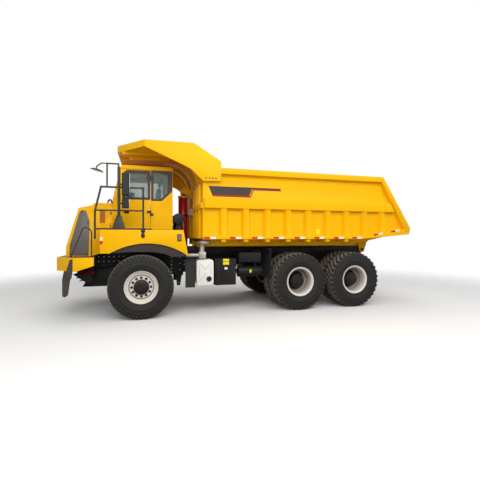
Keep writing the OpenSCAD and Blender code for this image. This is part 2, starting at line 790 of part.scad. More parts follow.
module leaf_springs() color(black) {
    both_sides() {
        // Front pack: leaves of falling length under the rail
        for (i = [0 : 3])
            span([front_axle_x - 700 + i * 130, spring_y - 45, axle_z + 280 - i * 45 - 45],
                [front_axle_x + 700 - i * 130, spring_y + 45, axle_z + 280 - i * 45]);
        for (s = [-1, 1]) span([front_axle_x + s * 660 - 40, spring_y - 30, axle_z + 280],
            [front_axle_x + s * 660 + 40, spring_y + 30, rail_bottom]);
        // Rear pack: one long spring over both axles, on a trunnion under the rail
        mid = (mid_axle_x + rear_axle_x) / 2;
        for (i = [0 : 3])
            span([mid - 820 + i * 170, spring_y - 50, axle_z + 180 + i * 35],
                [mid + 820 - i * 170, spring_y + 50, axle_z + 215 + i * 35]);
        span([mid - 120, spring_y - 50, axle_z + 320], [mid + 120, spring_y + 50, rail_bottom]);
    }
}

// Steering

arm_len = 320;
kingpin_r = 30;
module knuckle() {
    z = axle_z;
    for (h = [z - 140, z + 70]) {
        translate([front_axle_x, kingpin_y, h]) cylinder(r = 75, h = 70);
        span([front_axle_x - 70, kingpin_y, h], [front_axle_x + 70, kingpin_y + 90, h + 70]);
    }
    span([front_axle_x - 70, kingpin_y + 80, z - 140], [front_axle_x + 70, kingpin_y + 110, z + 140]);
    axle_rod(front_axle_x, z, kingpin_y + 100, front_track + 130, spindle_r);
    // Kingpin through the axle's eye
    translate([front_axle_x, kingpin_y, z - 75]) cylinder(r = kingpin_r, h = 150);
    // Steering arm runs back over the tie rod
    span([front_axle_x - arm_len, kingpin_y - 30, z - 140], [front_axle_x, kingpin_y + 30, z - 100]);
    translate([front_axle_x - arm_len, kingpin_y, z - 140]) cylinder(r = 50, h = 40);
}

module knuckle_left() color(black) knuckle();
module knuckle_right() color(black) mirror([0, 1, 0]) knuckle();

module tie_rod() color(black) {
    z = axle_z - 140 - skin - 40;
    x = front_axle_x - arm_len;
    axle_rod(x, z + 20, -kingpin_y, kingpin_y, 18);
    both_sides() translate([x, kingpin_y, z]) cylinder(r = 40, h = 40);
}

// Wheels: outline points are [radius, distance from the tyre's middle]

base_r = tyre_r - tread_depth;
shoulder_y = 0.89 * tyre_w / 2;
function tyre_outline() = let (h = tyre_w / 2) [
    [bead_r, -110], [rim_r - 5, -135], [rim_r + 90, -h], [tyre_r - 120, -h], [base_r - 10, -shoulder_y],
    [base_r, -shoulder_y + 20], [base_r, shoulder_y - 20], [base_r - 10, shoulder_y], [tyre_r - 120, h],
    [rim_r + 90, h], [rim_r - 5, 135], [bead_r, 110]
];

// Lugs in two staggered rows, each from near the middle out over the shoulder
lug_count = 24;
lug_len = 112;
lug_across = [12, shoulder_y - 4];
lug_lean = 26;
module lug_row(side) {
    for (i = [0 : lug_count - 1]) rotate([0, 0, (i + (side > 0 ? 0 : 0.5)) * 360 / lug_count])
        translate([base_r - 8, 0, 0]) rotate([90, 0, 90]) linear_extrude(tyre_r - base_r + 8) polygon([
            [-lug_len / 2 + lug_lean, side * lug_across[0]], [lug_len / 2 + lug_lean, side * lug_across[0]],
            [lug_len / 2 - lug_lean, side * lug_across[1]], [-lug_len / 2 - lug_lean, side * lug_across[1]]
        ]);
}

module tyre(x, y) {
    translate([x, y, axle_z]) rotate([90, 90, 0]) {
        rotate_extrude($fn = 48) polygon(tyre_outline());
        for (side = [-1, 1]) lug_row(side);
    }
}

// A rim's barrel with a flange at each side of the tyre
function barrel_outline() = [
    [barrel_r, -165], [rim_r, -165], [rim_r, -151], [bead_r - skin, -119], [bead_r - skin, 119],
    [rim_r, 151], [rim_r, 165], [barrel_r, 165]
];

module barrel(x, y) {
    translate([x, y, axle_z]) rotate([90, 0, 0]) rotate_extrude() polygon(barrel_outline());
}

// Front wheel: disc near the outer face with its ring of holes, and the hub
hub_r = 155;
stud_circle_r = 208;
stud_r = 15;
module rim_front() {
    x = front_axle_x;
    y = front_track;
    difference() {
        union() {
            barrel(x, y);
            axle_rod(x, axle_z, y + 90, y + 110, barrel_r + 5);
            axle_rod(x, axle_z, y - 160, y + 170, hub_r);
        }
        axle_rod(x, axle_z, y - 300, y + 132, hub_bore);
        for (i = [0 : 11]) translate([x, y, axle_z]) rotate([0, i * 30 + 15, 0])
            translate([stud_circle_r, 0, 0]) rotate([90, 0, 0]) cylinder(r = stud_r, h = 400, center = true);
    }
}

// Rear twin: two barrels on one hub
module rim_rear(x) {
    y1 = dual_outer_y;
    y0 = dual_outer_y - dual_gap;
    mid = (y0 + y1) / 2;
    difference() {
        union() {
            barrel(x, y1);
            barrel(x, y0);
            difference() {
                axle_rod(x, axle_z, y0 + 150, y1 - 150, bead_r - 2);
                axle_rod(x, axle_z, y0 + 149, y1 - 149, barrel_r);
            }
            axle_rod(x, axle_z, mid - 10, mid + 20, barrel_r + 5);
            axle_rod(x, axle_z, mid - 10, y1 + 60, 170);
        }
        axle_rod(x, axle_z, mid - 20, y1, spindle_r + 20 + run_gap);
    }
}

module rim_fl() color(pale) rim_front();
module rim_fr() color(pale) mirror([0, 1, 0]) rim_front();
module rim_ml() color(pale) rim_rear(mid_axle_x);
module rim_mr() color(pale) mirror([0, 1, 0]) rim_rear(mid_axle_x);
module rim_rl() color(pale) rim_rear(rear_axle_x);
module rim_rr() color(pale) mirror([0, 1, 0]) rim_rear(rear_axle_x);

module twin_tyres(x) {
    tyre(x, dual_outer_y);
    tyre(x, dual_outer_y - dual_gap);
}

module tyre_fl() color(black) tyre(front_axle_x, front_track);
module tyre_fr() color(black) mirror([0, 1, 0]) tyre(front_axle_x, front_track);
module tyre_ml() color(black) twin_tyres(mid_axle_x);
module tyre_mr() color(black) mirror([0, 1, 0]) twin_tyres(mid_axle_x);
module tyre_rl() color(black) twin_tyres(rear_axle_x);
module tyre_rr() color(black) mirror([0, 1, 0]) twin_tyres(rear_axle_x);

// Bed

wall_top = 2980;
rib_first = 780;
rib_count = 9;
tail_bend = -2770;
tail_tip = [-tail_back, 1970];
tail_low = [-tail_back + 50, 1820];
rail_rear = -3400;
skirt_rear = 840;
sill_low = 1540;
notch_y = 210;
notch_x = 930;
notch_z = 2690;
post_w = 120;
ledge_y = bed_y - 5;
lug_y = rail_y + 8;
lug_t = 40;
sill_y = [1080, 1200];

// Height of the floor's upper face in the rising tail
function tail_floor(x) = floor_z + (tail_tip[1] - floor_z) * (tail_bend - x) / (tail_bend - tail_tip[0]);
function tail_under(x) = tail_floor(x) - bed_t + weld;

bed_profile = [
    [front_wall, floor_z - bed_t], [front_wall, wall_top], [skirt_rear, bed_top], [rail_rear, bed_top], tail_tip,
    tail_low, [tail_bend, floor_z - bed_t]
];

module bed_shell() color(yellow) {
    difference() {
        union() {
            bed_floor();
            both_sides() side_plate(bed_profile, plate_y - bed_t, plate_y);
            // Front wall and its doghouse around the hoist
            span([front_wall - bed_t, -plate_y, floor_z - bed_t], [front_wall, plate_y, wall_top]);
            side_plate([[notch_x - bed_t, floor_z - bed_t], [notch_x, floor_z - bed_t], [front_wall, notch_z],
                [front_wall - bed_t, notch_z]], -notch_y - bed_t, notch_y + bed_t);
            both_sides() side_plate([[notch_x - bed_t, floor_z - bed_t], [front_wall, floor_z - bed_t],
                [front_wall, notch_z]], notch_y, notch_y + bed_t);
        }
        side_plate([[notch_x, floor_z - bed_t - 400], [front_wall + 100, floor_z - bed_t - 400],
            [front_wall + 100, notch_z], [front_wall, notch_z], [notch_x, floor_z - bed_t]], -notch_y, notch_y);
    }
    both_sides() {
        bed_side_frame();
        bed_beam();
    }
    bearers();
    hoist_ears();
    front_ribs();
}

// Upright ribs and a waist rail stiffen the front wall
front_rib_y = [330, 760, 1190];
front_rib_h = 55;
module front_ribs() {
    x = front_wall + front_rib_h;
    both_sides() {
        for (y = front_rib_y) cross_bar([[y, sill_low + 180], [y + 70, sill_low + 180], [y + 70, wall_top - 30],
            [y, wall_top - 30]], front_wall - weld, x);
        cross_bar([[front_rib_y[0], 2390], [plate_y, 2390], [plate_y, 2500], [front_rib_y[0], 2500]],
            front_wall - weld, x - 10);
    }
}

module bed_floor() {
    side_plate([[front_wall, floor_z - bed_t], [front_wall, floor_z], [tail_bend, floor_z],
        [tail_tip[0], tail_tip[1]], [tail_tip[0], tail_tip[1] - bed_t], [tail_bend, floor_z - bed_t]],
        -plate_y, plate_y);
}

// Ribs, rails and sill on the outside of a side plate
module bed_side_frame() {
    y = plate_y;
    for (i = [0 : rib_count - 1]) {
        x = rib_first - i * rib_pitch;
        translate([0, 0, 1760]) linear_extrude(2390 - 1760)
            polygon([[x - 100, y], [x + 100, y], [x + 65, bed_y - 15], [x - 65, bed_y - 15]]);
    }
    // Middle rail, top rail, bottom ledge
    side_plate([[front_wall - 20, 2390], [front_wall - 20, 2615], [-3610, 2615], [-3750, 2390]], y, bed_y);
    side_plate([[skirt_rear, 3150], [skirt_rear, bed_top], [rail_rear, bed_top], [rail_rear - 83, 3150]], y, bed_y);
    side_plate([[front_wall, 1700], [front_wall, 1760], [tail_bend, 1760], [-4070, 1960], tail_tip, tail_low,
        [tail_bend, 1700]], y, ledge_y);
    // Slanted corner post
    side_plate([[rail_rear + post_w, bed_top], [rail_rear, bed_top], tail_tip,
        [tail_tip[0] + 20, tail_tip[1] - 50], [tail_tip[0] + post_w + 50, tail_tip[1] - 50]], y, bed_y);
}

// A long beam over the rail, a sill further out, and the hinge lug
module bed_beam() {
    z0 = rail_top + seat_gap;
    under = floor_z - bed_t;
    front = front_wall - 40;
    side_plate([[front, z0], [front, bearer_z], [-2450, bearer_z], [-2450, under], [tail_bend, under],
        [-4000, tail_under(-4000)], [-4000, 1800], [-3700, z0 + 60], [hinge_x - 60, z0]], rail_in, rail_y);
    side_plate([[front, sill_low], [front, under], [tail_bend, under], [-4100, tail_under(-4100)],
        [-4150, 1830], [-2680, sill_low]], sill_y[0], sill_y[1]);
    difference() {
        union() {
            side_plate([[hinge_x - 85, hinge_z], [hinge_x + 85, hinge_z], [hinge_x + 200, under],
                [hinge_x + 200, tail_under(hinge_x + 200)], [hinge_x - 200, tail_under(hinge_x - 200)],
                [hinge_x - 200, under]], lug_y, lug_y + lug_t);
            axle_rod(hinge_x, hinge_z, lug_y, lug_y + lug_t, 85);
        }
        axle_rod(hinge_x, hinge_z, rail_y, lug_y + lug_t + 10, hinge_pin_r + run_gap);
    }
}

// Cross bearers under the floor, one at each rib
module bearers() {
    for (i = [0 : rib_count - 3]) {
        x = rib_first - i * rib_pitch;
        span([x - 50, -bed_y + 30, bearer_z], [x + 50, bed_y - 30, floor_z - bed_t]);
    }
}

// Canopy over the cab: roof, lip, skirts, and the curved underside with its ribs
canopy_y = bed_y - 10;
canopy_break = 1440;
canopy_rear_z = 3420;
canopy_corner = 2470;
canopy_tip_y = 900;
lip_h = 130;
curve_r = 680;
canopy_t = 16;

module canopy() color(yellow) {
    intersection() {
        union() {
            canopy_section();
            both_sides() skirt();
            canopy_lip();
            canopy_ribs();
        }
        canopy_plan();
    }
}

module canopy_plan() {
    translate([0, 0, 2900]) linear_extrude(1000) polygon([
        [skirt_rear, -canopy_y], [canopy_corner, -canopy_y], [canopy_front, -canopy_tip_y],
        [canopy_front, canopy_tip_y], [canopy_corner, canopy_y], [skirt_rear, canopy_y]
    ]);
}

// Roof plate with its sloped rear, and the underside plate that curves down to the front wall
module canopy_section() {
    t = canopy_t;
    w = canopy_y - t;
    cx = front_wall + curve_r;
    cz = wall_top;
    side_plate([[skirt_rear, bed_top + 5], [skirt_rear, canopy_rear_z], [canopy_break, canopy_top],
        [canopy_front, canopy_top], [canopy_front, canopy_top - t], [canopy_break, canopy_top - t],
        [skirt_rear + t, canopy_rear_z - t], [skirt_rear + t, bed_top + 5]], -w, w);
    side_plate(concat(arc(cx, cz, curve_r, 180, 90, 12), [[canopy_front, cz + curve_r],
        [canopy_front, cz + curve_r - t]], arc(cx, cz, curve_r - t, 90, 180, 12)), -w, w);
    // Sloped plate from the front wall up to the roof's rear edge
    side_plate([[front_wall, wall_top + seat_gap], [skirt_rear, bed_top + seat_gap], [skirt_rear, bed_top + t],
        [front_wall, wall_top + t]], -w, w);
}

// Flat ribs follow the curve of the underside and run on to the front; a box beam lies between them
canopy_rib_y = [360, 1050];
canopy_rib_t = 14;
canopy_rib_h = 60;
module canopy_ribs() {
    r = curve_r - canopy_t + weld;
    cx = front_wall + curve_r;
    top = wall_top + r;
    h = canopy_rib_h;
    end = canopy_front - canopy_t;
    for (y = canopy_rib_y) both_sides() side_plate(concat(
        arc(cx, wall_top, r, 176, 90, 12), [[end, top], [end, top - h]], arc(cx, wall_top, r - h, 90, 176, 12)),
        y - canopy_rib_t / 2, y + canopy_rib_t / 2);
    both_sides() side_plate([[cx, top], [cx, top - 110], [cx + 850, top - 110], [cx + 900, top - 60],
        [cx + 900, top]], 620, 800);
}

module skirt() {
    t = canopy_t;
    lower = [[skirt_rear, 2990], [1243, 2975], [1340, 3060], [1500, 3217], [1700, 3310], [1949, 3417], [2477, 3640],
        [canopy_front, 3655]];
    side_plate(concat(lower, [[canopy_front, canopy_top], [canopy_break, canopy_top], [skirt_rear, canopy_rear_z]]),
        canopy_y - t, canopy_y);
    // Inner edge closes the gap between skirt and side plate
    side_plate([[skirt_rear, 2990], [1243, 2975], [1243, 2995], [skirt_rear, 3010]], plate_y, canopy_y - t);
}

// The lip turns down along the front and the two cut corners
module canopy_lip() {
    t = canopy_t;
    z = canopy_top - lip_h;
    translate([0, 0, z]) linear_extrude(lip_h) difference() {
        polygon([[2400, -canopy_y], [canopy_corner, -canopy_y], [canopy_front, -canopy_tip_y],
            [canopy_front, canopy_tip_y], [canopy_corner, canopy_y], [2400, canopy_y]]);
        polygon([[2399, -canopy_y], [canopy_corner - t, -canopy_y], [canopy_front - t, -canopy_tip_y],
            [canopy_front - t, canopy_tip_y], [canopy_corner - t, canopy_y], [2399, canopy_y]]);
    }
}

// Two plates on the front wall take the hoist's eye
ear_y = 70;
module hoist_ears() {
    both_sides() side_plate([[front_wall, 2700], [front_wall, wall_top - 1], [front_wall + 26, wall_top - 1],
        [1400, 3050], [hoist_x + 60, 3020], [hoist_x + 60, 2890], [hoist_x - 60, 2860]], ear_y + 12, ear_y + 42);
}

// Hoist

stage_r = [95, 75, 55];
barrel_low = hoist_z - 70;
stage_top = hoist_eye_z - 90;
module hoist_barrel() color(red) {
    difference() {
        translate([hoist_x, 0, barrel_low]) cylinder(r = hoist_r, h = stage_top - 40 - barrel_low);
        translate([hoist_x, 0, barrel_low + 30]) cylinder(r = stage_r[0] + run_gap, h = 2000);
    }
    both_sides() axle_rod(hoist_x, hoist_z, hoist_r - 4, trunnion_y + 120, trunnion_r);
}

module stage(i) {
    bottom = barrel_low + 40 + i * 10;
    top = stage_top - 40 + (i + 1) * 10;
    difference() {
        translate([hoist_x, 0, bottom]) cylinder(r = stage_r[i], h = top - bottom);
        if (i < 2) translate([hoist_x, 0, bottom + 9]) cylinder(r = stage_r[i + 1] + run_gap, h = 2000);
    }
}

module hoist_stage_1() color(red) stage(0);
module hoist_stage_2() color(red) stage(1);
module hoist_stage_3() color(red) {
    stage(2);
    translate([hoist_x, 0, stage_top - 12]) cylinder(r = 50, h = 60);
    axle_rod(hoist_x, hoist_eye_z, -ear_y, ear_y, 65);
}

chassis_frame();
cross_members();
deck_beams();
belly_guard();
front_bumper();
tow_hooks();
front_ladder();
nose_shell();
nose_trim();
hood();
fender_left();
fender_right();
mudguards();
deck_rails();
mirrors();
lamps();
cab_shell();
cab_roof();
cab_glass();
cab_seat();
cab_dash();
door();
door_glass();
power_unit();
drive_shafts();
air_cleaner();
exhaust();
urea_tank();
side_tanks();
front_axle();
drive_axles();
leaf_springs();
tie_rod();
knuckle_left();
knuckle_right();
rim_fl();
tyre_fl();
rim_fr();
tyre_fr();
rim_ml();
tyre_ml();
rim_mr();
tyre_mr();
rim_rl();
tyre_rl();
rim_rr();
tyre_rr();
bed_shell();
canopy();
hoist_barrel();
hoist_stage_1();
hoist_stage_2();
hoist_stage_3();
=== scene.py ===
import math
import json
import bpy
from mathutils import Matrix, Vector


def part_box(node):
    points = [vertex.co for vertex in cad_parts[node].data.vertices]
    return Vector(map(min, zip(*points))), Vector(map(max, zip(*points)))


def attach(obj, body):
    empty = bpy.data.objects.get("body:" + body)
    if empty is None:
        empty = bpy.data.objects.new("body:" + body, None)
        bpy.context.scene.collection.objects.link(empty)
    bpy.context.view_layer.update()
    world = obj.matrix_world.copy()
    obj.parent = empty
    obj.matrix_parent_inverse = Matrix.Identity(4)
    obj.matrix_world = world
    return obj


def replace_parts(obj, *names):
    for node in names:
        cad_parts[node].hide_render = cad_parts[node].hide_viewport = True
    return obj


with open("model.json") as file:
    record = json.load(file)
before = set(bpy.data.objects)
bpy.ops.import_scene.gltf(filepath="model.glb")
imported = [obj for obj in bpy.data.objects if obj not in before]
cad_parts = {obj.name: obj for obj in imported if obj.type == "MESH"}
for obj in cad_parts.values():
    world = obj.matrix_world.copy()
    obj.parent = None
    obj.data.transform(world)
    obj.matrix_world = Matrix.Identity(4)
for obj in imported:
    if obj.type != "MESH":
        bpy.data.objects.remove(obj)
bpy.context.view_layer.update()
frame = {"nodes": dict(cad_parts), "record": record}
record = frame["record"]


# Small tools for modelling

def clearSelection():
    bpy.ops.object.select_all(action="DESELECT")


def activate(piece, *others):
    clearSelection()
    for each in (piece, *others):
        each.select_set(True)
    bpy.context.view_layer.objects.active = piece


def settle(piece):
    # the place, turn and size go into the mesh
    activate(piece)
    bpy.ops.object.transform_apply(location=True, rotation=True, scale=True)
    return piece


def applied(piece, kind, **settings):
    activate(piece)
    modifier = piece.modifiers.new(kind.title(), kind)
    for key, value in settings.items():
        setattr(modifier, key, value)
    bpy.ops.object.modifier_apply(modifier=modifier.name)
    return piece


def editing(piece, choose="SELECT"):
    activate(piece)
    bpy.ops.object.mode_set(mode="EDIT")
    bpy.ops.mesh.select_all(action=choose)


def closeEdit():
    bpy.ops.object.mode_set(mode="OBJECT")


def rounded(piece, width, segments=2, angle=30):
    activate(piece)
    bpy.ops.object.shade_smooth()
    return applied(piece, "BEVEL", width=width, segments=segments, limit_method="ANGLE",
                   angle_limit=math.radians(angle), harden_normals=True, miter_outer="MITER_ARC")


def smoothed(piece, angle=35):
    activate(piece)
    bpy.ops.object.shade_smooth_by_angle(angle=math.radians(angle))
    return piece


def block(name, low, high, edge=0.006, segments=2):
    clearSelection()
    centre = [(a + b) / 2 for a, b in zip(low, high)]
    size = [b - a for a, b in zip(low, high)]
    bpy.ops.mesh.primitive_cube_add(size=1, location=centre, scale=size)
    piece = bpy.context.object
    piece.name = name
    settle(piece)
    return rounded(piece, min(edge, min(size) * 0.4), segments) if edge else piece


def fromPoints(name, points, edges=(), faces=()):
    mesh = bpy.data.meshes.new(name)
    mesh.from_pydata(points, edges, faces)
    piece = bpy.data.objects.new(name, mesh)
    bpy.context.scene.collection.objects.link(piece)
    return piece


def pushed(name, flat, faces, low, high, along, edge, segments=2):
    # flat faces in XZ, YZ or XY, pushed out from low to high
    spots = {"y": lambda a, b: (a, low, b), "x": lambda a, b: (low, a, b), "z": lambda a, b: (a, b, low)}
    push = {"y": (0, high - low, 0), "x": (high - low, 0, 0), "z": (0, 0, high - low)}
    piece = fromPoints(name, [spots[along](*p) for p in flat], faces=faces)
    editing(piece)
    bpy.ops.mesh.extrude_region_move(TRANSFORM_OT_translate={"value": push[along]})
    bpy.ops.mesh.select_all(action="SELECT")
    bpy.ops.mesh.normals_make_consistent(inside=False)
    closeEdit()
    return rounded(piece, edge, segments) if edge else piece


def cutPlate(name, outline, low, high, along="y", edge=0.004, segments=2):
    return pushed(name, outline, [range(len(outline))], low, high, along, edge, segments)


def turned(name, profile, centre, axis="y", steps=64, closed=True, angle=35):
    # profile points are (radius, place along the axis), turned a full circle about it
    cx, cy, cz = centre
    spots = {"y": lambda r, t: (cx + r, cy + t, cz), "z": lambda r, t: (cx + r, cy, cz + t),
             "x": lambda r, t: (cx + t, cy, cz + r)}
    lines = {"y": (0, 1, 0), "z": (0, 0, 1), "x": (1, 0, 0)}
    count = len(profile)
    edges = [(i, (i + 1) % count) for i in range(count if closed else count - 1)]
    piece = fromPoints(name, [spots[axis](*p) for p in profile], edges=edges)
    editing(piece)
    bpy.ops.mesh.spin(steps=steps, angle=2 * math.pi, center=centre, axis=lines[axis])
    bpy.ops.mesh.select_all(action="SELECT")
    bpy.ops.mesh.remove_doubles(threshold=0.00005)
    bpy.ops.mesh.normals_make_consistent(inside=False)
    closeEdit()
    return smoothed(piece, angle)


def bandProfile(low, high, start, end):
    # section of a ring between two radii and two places along its axis
    return [(low, start), (high, start), (high, end), (low, end)]


def grownBox(a0, b0, a1, b1, out):
    # corners of a rectangle made larger all round
    return [(a0 - out, b0 - out), (a1 + out, b0 - out), (a1 + out, b1 + out), (a0 - out, b1 + out)]


def softBends(points, radius, steps=5, ring=False):
    # each inner corner of a path, or each corner of a ring, becomes a short arc
    spots = [Vector(p) for p in points]
    if ring:
        spots = [spots[-1], *spots, spots[0]]
    path = [] if ring else spots[:1]
    for before, here, after in zip(spots, spots[1:], spots[2:]):
        back, on = before - here, after - here
        reach = min(radius, back.length * 0.45, on.length * 0.45)
        start, end = here + back.normalized() * reach, here + on.normalized() * reach
        for i in range(steps + 1):
            t = i / steps
            path.append(start * (1 - t) ** 2 + here * 2 * t * (1 - t) + end * t ** 2)
    return path if ring else path + spots[-1:]


def inset(ring, width):
    # a ring of corners moved inwards by a width
    spots = [Vector(p) for p in ring]
    turn = sum(a.x * b.y - b.x * a.y for a, b in zip(spots, spots[1:] + spots[:1]))
    side = 1 if turn > 0 else -1
    moved = []
    for before, here, after in zip(spots[-1:] + spots[:-1], spots, spots[1:] + spots[:1]):
        first, last = (here - before).normalized(), (after - here).normalized()
        out1, out2 = Vector((-first.y, first.x)), Vector((-last.y, last.x))
        moved.append(here + (out1 + out2) * (side * width / (1 + out1.dot(out2))))
    return moved


def ringPlate(name, outline, inside, low, high, along="y", edge=0.002, bend=0.03):
    # a flat frame with soft corners; inside is its width, or the outline of its opening
    outer = softBends(outline, bend, 4, ring=True)
    inner = inset(outer, inside) if isinstance(inside, float) else softBends(inside, bend, 4, ring=True)
    count = len(outer)
    faces = [(i, (i + 1) % count, count + (i + 1) % count, count + i) for i in range(count)]
    return pushed(name, outer + inner, faces, low, high, along, edge)


def pipe(name, points, radius, bend=0.06, sides=3):
    line = bpy.data.curves.new(name, "CURVE")
    line.dimensions = "3D"
    line.bevel_depth = radius
    line.bevel_resolution = sides
    line.use_fill_caps = True
    path = softBends(points, bend) if len(points) > 2 else [Vector(p) for p in points]
    spline = line.splines.new("POLY")
    spline.points.add(len(path) - 1)
    for spot, place in zip(spline.points, path):
        spot.co = (*place, 1)
    piece = bpy.data.objects.new(name, line)
    bpy.context.scene.collection.objects.link(piece)
    activate(piece)
    bpy.ops.object.convert(target="MESH")
    piece = bpy.context.object
    return smoothed(piece, 40)


def joined(name, pieces):
    activate(pieces[0], *pieces[1:])
    if len(pieces) > 1:
        bpy.ops.object.join()
    piece = bpy.context.object
    piece.name = name
    return piece


def copyOf(piece, matrix, name=None):
    twin = piece.copy()
    twin.data = piece.data.copy()
    twin.data.transform(matrix)
    if matrix.determinant() < 0:
        twin.data.flip_normals()
    bpy.context.scene.collection.objects.link(twin)
    if name:
        twin.name = name
    return twin


def mirrored(piece, name=None):
    return copyOf(piece, Matrix.Scale(-1, 4, (0, 1, 0)), name)


def bothSides(name, piece):
    return joined(name, [piece, mirrored(piece)])


def cylinder(name, start, end, radius, sides=24, edge=0.003):
    a, b = Vector(start), Vector(end)
    clearSelection()
    bpy.ops.mesh.primitive_cylinder_add(vertices=sides, radius=radius, depth=(b - a).length)
    piece = bpy.context.object
    piece.name = name
    piece.data.transform((b - a).to_track_quat("Z", "Y").to_matrix().to_4x4())
    piece.data.transform(Matrix.Translation((a + b) / 2))
    return rounded(piece, edge, 2) if edge else smoothed(piece)


def studs(name, places, direction, radius=0.012, height=0.008, sides=6):
    # one bolt head on its washer, copied to each place
    up = Vector(direction)
    head = cylinder(name, (0, 0, 0), up * height, radius, sides, edge=radius * 0.12)
    washer = cylinder(name, (0, 0, 0), up * height * 0.25, radius * 1.45, 16, edge=0)
    one = joined(name, [head, washer])
    copies = [copyOf(one, Matrix.Translation(p)) for p in places]
    bpy.data.objects.remove(one)
    return joined(name, copies)


def marked(piece, rule):
    # writes at each corner a share for the finish to read: wear on tyre blocks, and painted shade with some
    # grime in the rims' groove and well
    layer = piece.data.attributes.new("wearAndShade", "FLOAT", "POINT")
    for mark, vertex in zip(layer.data, piece.data.vertices):
        mark.value = rule(vertex.co)
    return piece


def softCopy(node, edge, name=None, segments=2):
    # a copy of a CAD node with its loose triangles merged and its edges rounded stands for the node
    piece = bpy.data.objects.new(name or node + "_finish", frame["nodes"][node].data.copy())
    bpy.context.scene.collection.objects.link(piece)
    editing(piece)
    bpy.ops.mesh.remove_doubles(threshold=0.00005)
    bpy.ops.mesh.dissolve_limited(angle_limit=math.radians(0.3))
    closeEdit()
    rounded(piece, edge, segments)
    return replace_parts(piece, node)


def finished(piece, material, body):
    piece.data.materials.clear()
    piece.data.materials.append(material)
    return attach(piece, body)


# Shader maths on sockets

class Wire:
    def __init__(self, finish, socket):
        self.finish = finish
        self.socket = socket

    def __add__(self, other):
        return self.finish.maths("ADD", self, other)

    def __rsub__(self, other):
        return self.finish.maths("SUBTRACT", other, self)

    def __mul__(self, other):
        return self.finish.maths("MULTIPLY", self, other)

    __radd__ = __add__
    __rmul__ = __mul__


class Finish:
    def __init__(self, name):
        self.material = bpy.data.materials.new(name)
        self.material.use_nodes = True
        self.tree = self.material.node_tree
        self.tree.nodes.clear()
        self.place = self.node("TexCoord", out="Object")

    def node(self, kind, settings=None, inputs=None, out=0):
        made = self.tree.nodes.new("ShaderNode" + kind)
        for key, value in (settings or {}).items():
            setattr(made, key, value)
        for key, value in (inputs or {}).items():
            if isinstance(value, Wire):
                self.tree.links.new(value.socket, made.inputs[key])
            else:
                made.inputs[key].default_value = value
        return Wire(self, made.outputs[out])

    def maths(self, operation, a, b=0.0):
        return self.node("Math", {"operation": operation}, {0: a, 1: b})

    def mixed(self, share, a, b, blend="MIX"):
        a, b = (c if isinstance(c, Wire) or len(c) == 4 else (*c, 1) for c in (a, b))
        return self.node("Mix", {"data_type": "RGBA", "blend_type": blend}, {0: share, 6: a, 7: b}, out=2)

    def stretched(self, size):
        return self.node("Mapping", None, {"Vector": self.place, "Scale": size})

    def noise(self, scale, detail=3, rough=0.55, size=None, warp=0):
        at = self.stretched(size) if size else self.place
        return self.node("TexNoise", None, {"Vector": at, "Scale": scale, "Detail": detail,
                                            "Roughness": rough, "Distortion": warp})

    def eased(self, value, low, high):
        return self.node("MapRange", {"interpolation_type": "SMOOTHSTEP"},
                         {"Value": value, "From Min": low, "From Max": high, "To Min": 0.0, "To Max": 1.0})

    # reads the corner marks: tyre wear, and painted shade with some grime in the rims' hollows
    def wearAndShade(self):
        return self.node("Attribute", {"attribute_name": "wearAndShade"}, out="Fac")

    def height(self):
        return self.node("SeparateXYZ", None, {0: self.place}, out=2)

    def bump(self, value, strength, depth):
        return self.node("Bump", None, {"Height": value, "Strength": strength, "Distance": depth})

    def surface(self, **sockets):
        names = {"colour": "Base Color", "rough": "Roughness", "metal": "Metallic", "coat": "Coat Weight",
                 "coatRough": "Coat Roughness", "alpha": "Alpha", "normal": "Normal",
                 "shine": "Specular IOR Level", "fuzz": "Sheen Weight"}
        values = {}
        for key, value in sockets.items():
            plain = key == "colour" and not isinstance(value, Wire) and len(value) == 3
            values[names[key]] = (*value, 1) if plain else value
        self.output(self.node("BsdfPrincipled", None, values))
        return self.material

    def output(self, shader):
        end = self.tree.nodes.new("ShaderNodeOutputMaterial")
        self.tree.links.new(shader.socket, end.inputs["Surface"])


paintLook = {
    "cloudSize": 0.7, "cloudShade": 0.06, "peelSize": 95.0, "peelDepth": 0.0004,
    "dustColour": (0.34, 0.24, 0.13), "dustTop": 1.3, "dustShare": 0.22,
    "streakSize": 5.5, "streakStretch": (1, 1, 0.18), "speckSize": 26,
}


def paint(name, colour, rough=0.32, coat=0.35, dust=1.0, shine=0.15, shadeAndGrime=None):
    look = paintLook
    f = Finish(name)
    cloud = f.noise(look["cloudSize"], 4, 0.6)
    shade = 1 - look["cloudShade"] + cloud * (2 * look["cloudShade"])
    tinted = f.mixed(1.0, colour, f.node("CombineColor", None, {0: shade, 1: shade, 2: shade}), "MULTIPLY")
    streaks = f.noise(look["streakSize"], 5, 0.65, size=look["streakStretch"])
    low = 1 - f.eased(f.height(), 0.2, look["dustTop"])
    specks = f.eased(f.noise(look["speckSize"], 6, 0.7), 0.48, 0.75)
    settled = low * 0.75 + f.eased(streaks, 0.52, 0.8) * 0.25
    dusty = settled * (0.45 + specks * 0.55) * (look["dustShare"] * dust)
    mixedColour = f.mixed(dusty, tinted, look["dustColour"])
    # painted shade, with some grime, darkens the corners marked for it (the rims' groove and well)
    if shadeAndGrime:
        mixedColour = f.mixed(f.wearAndShade() * (0.75 + specks * 0.25), mixedColour, shadeAndGrime)
    peel = f.noise(look["peelSize"], 2, 0.4)
    return f.surface(colour=mixedColour, rough=rough + dusty * 0.5 + cloud * 0.06, coat=coat * (1 - dusty),
                     coatRough=0.08, shine=shine, normal=f.bump(peel, 0.35, look["peelDepth"]))


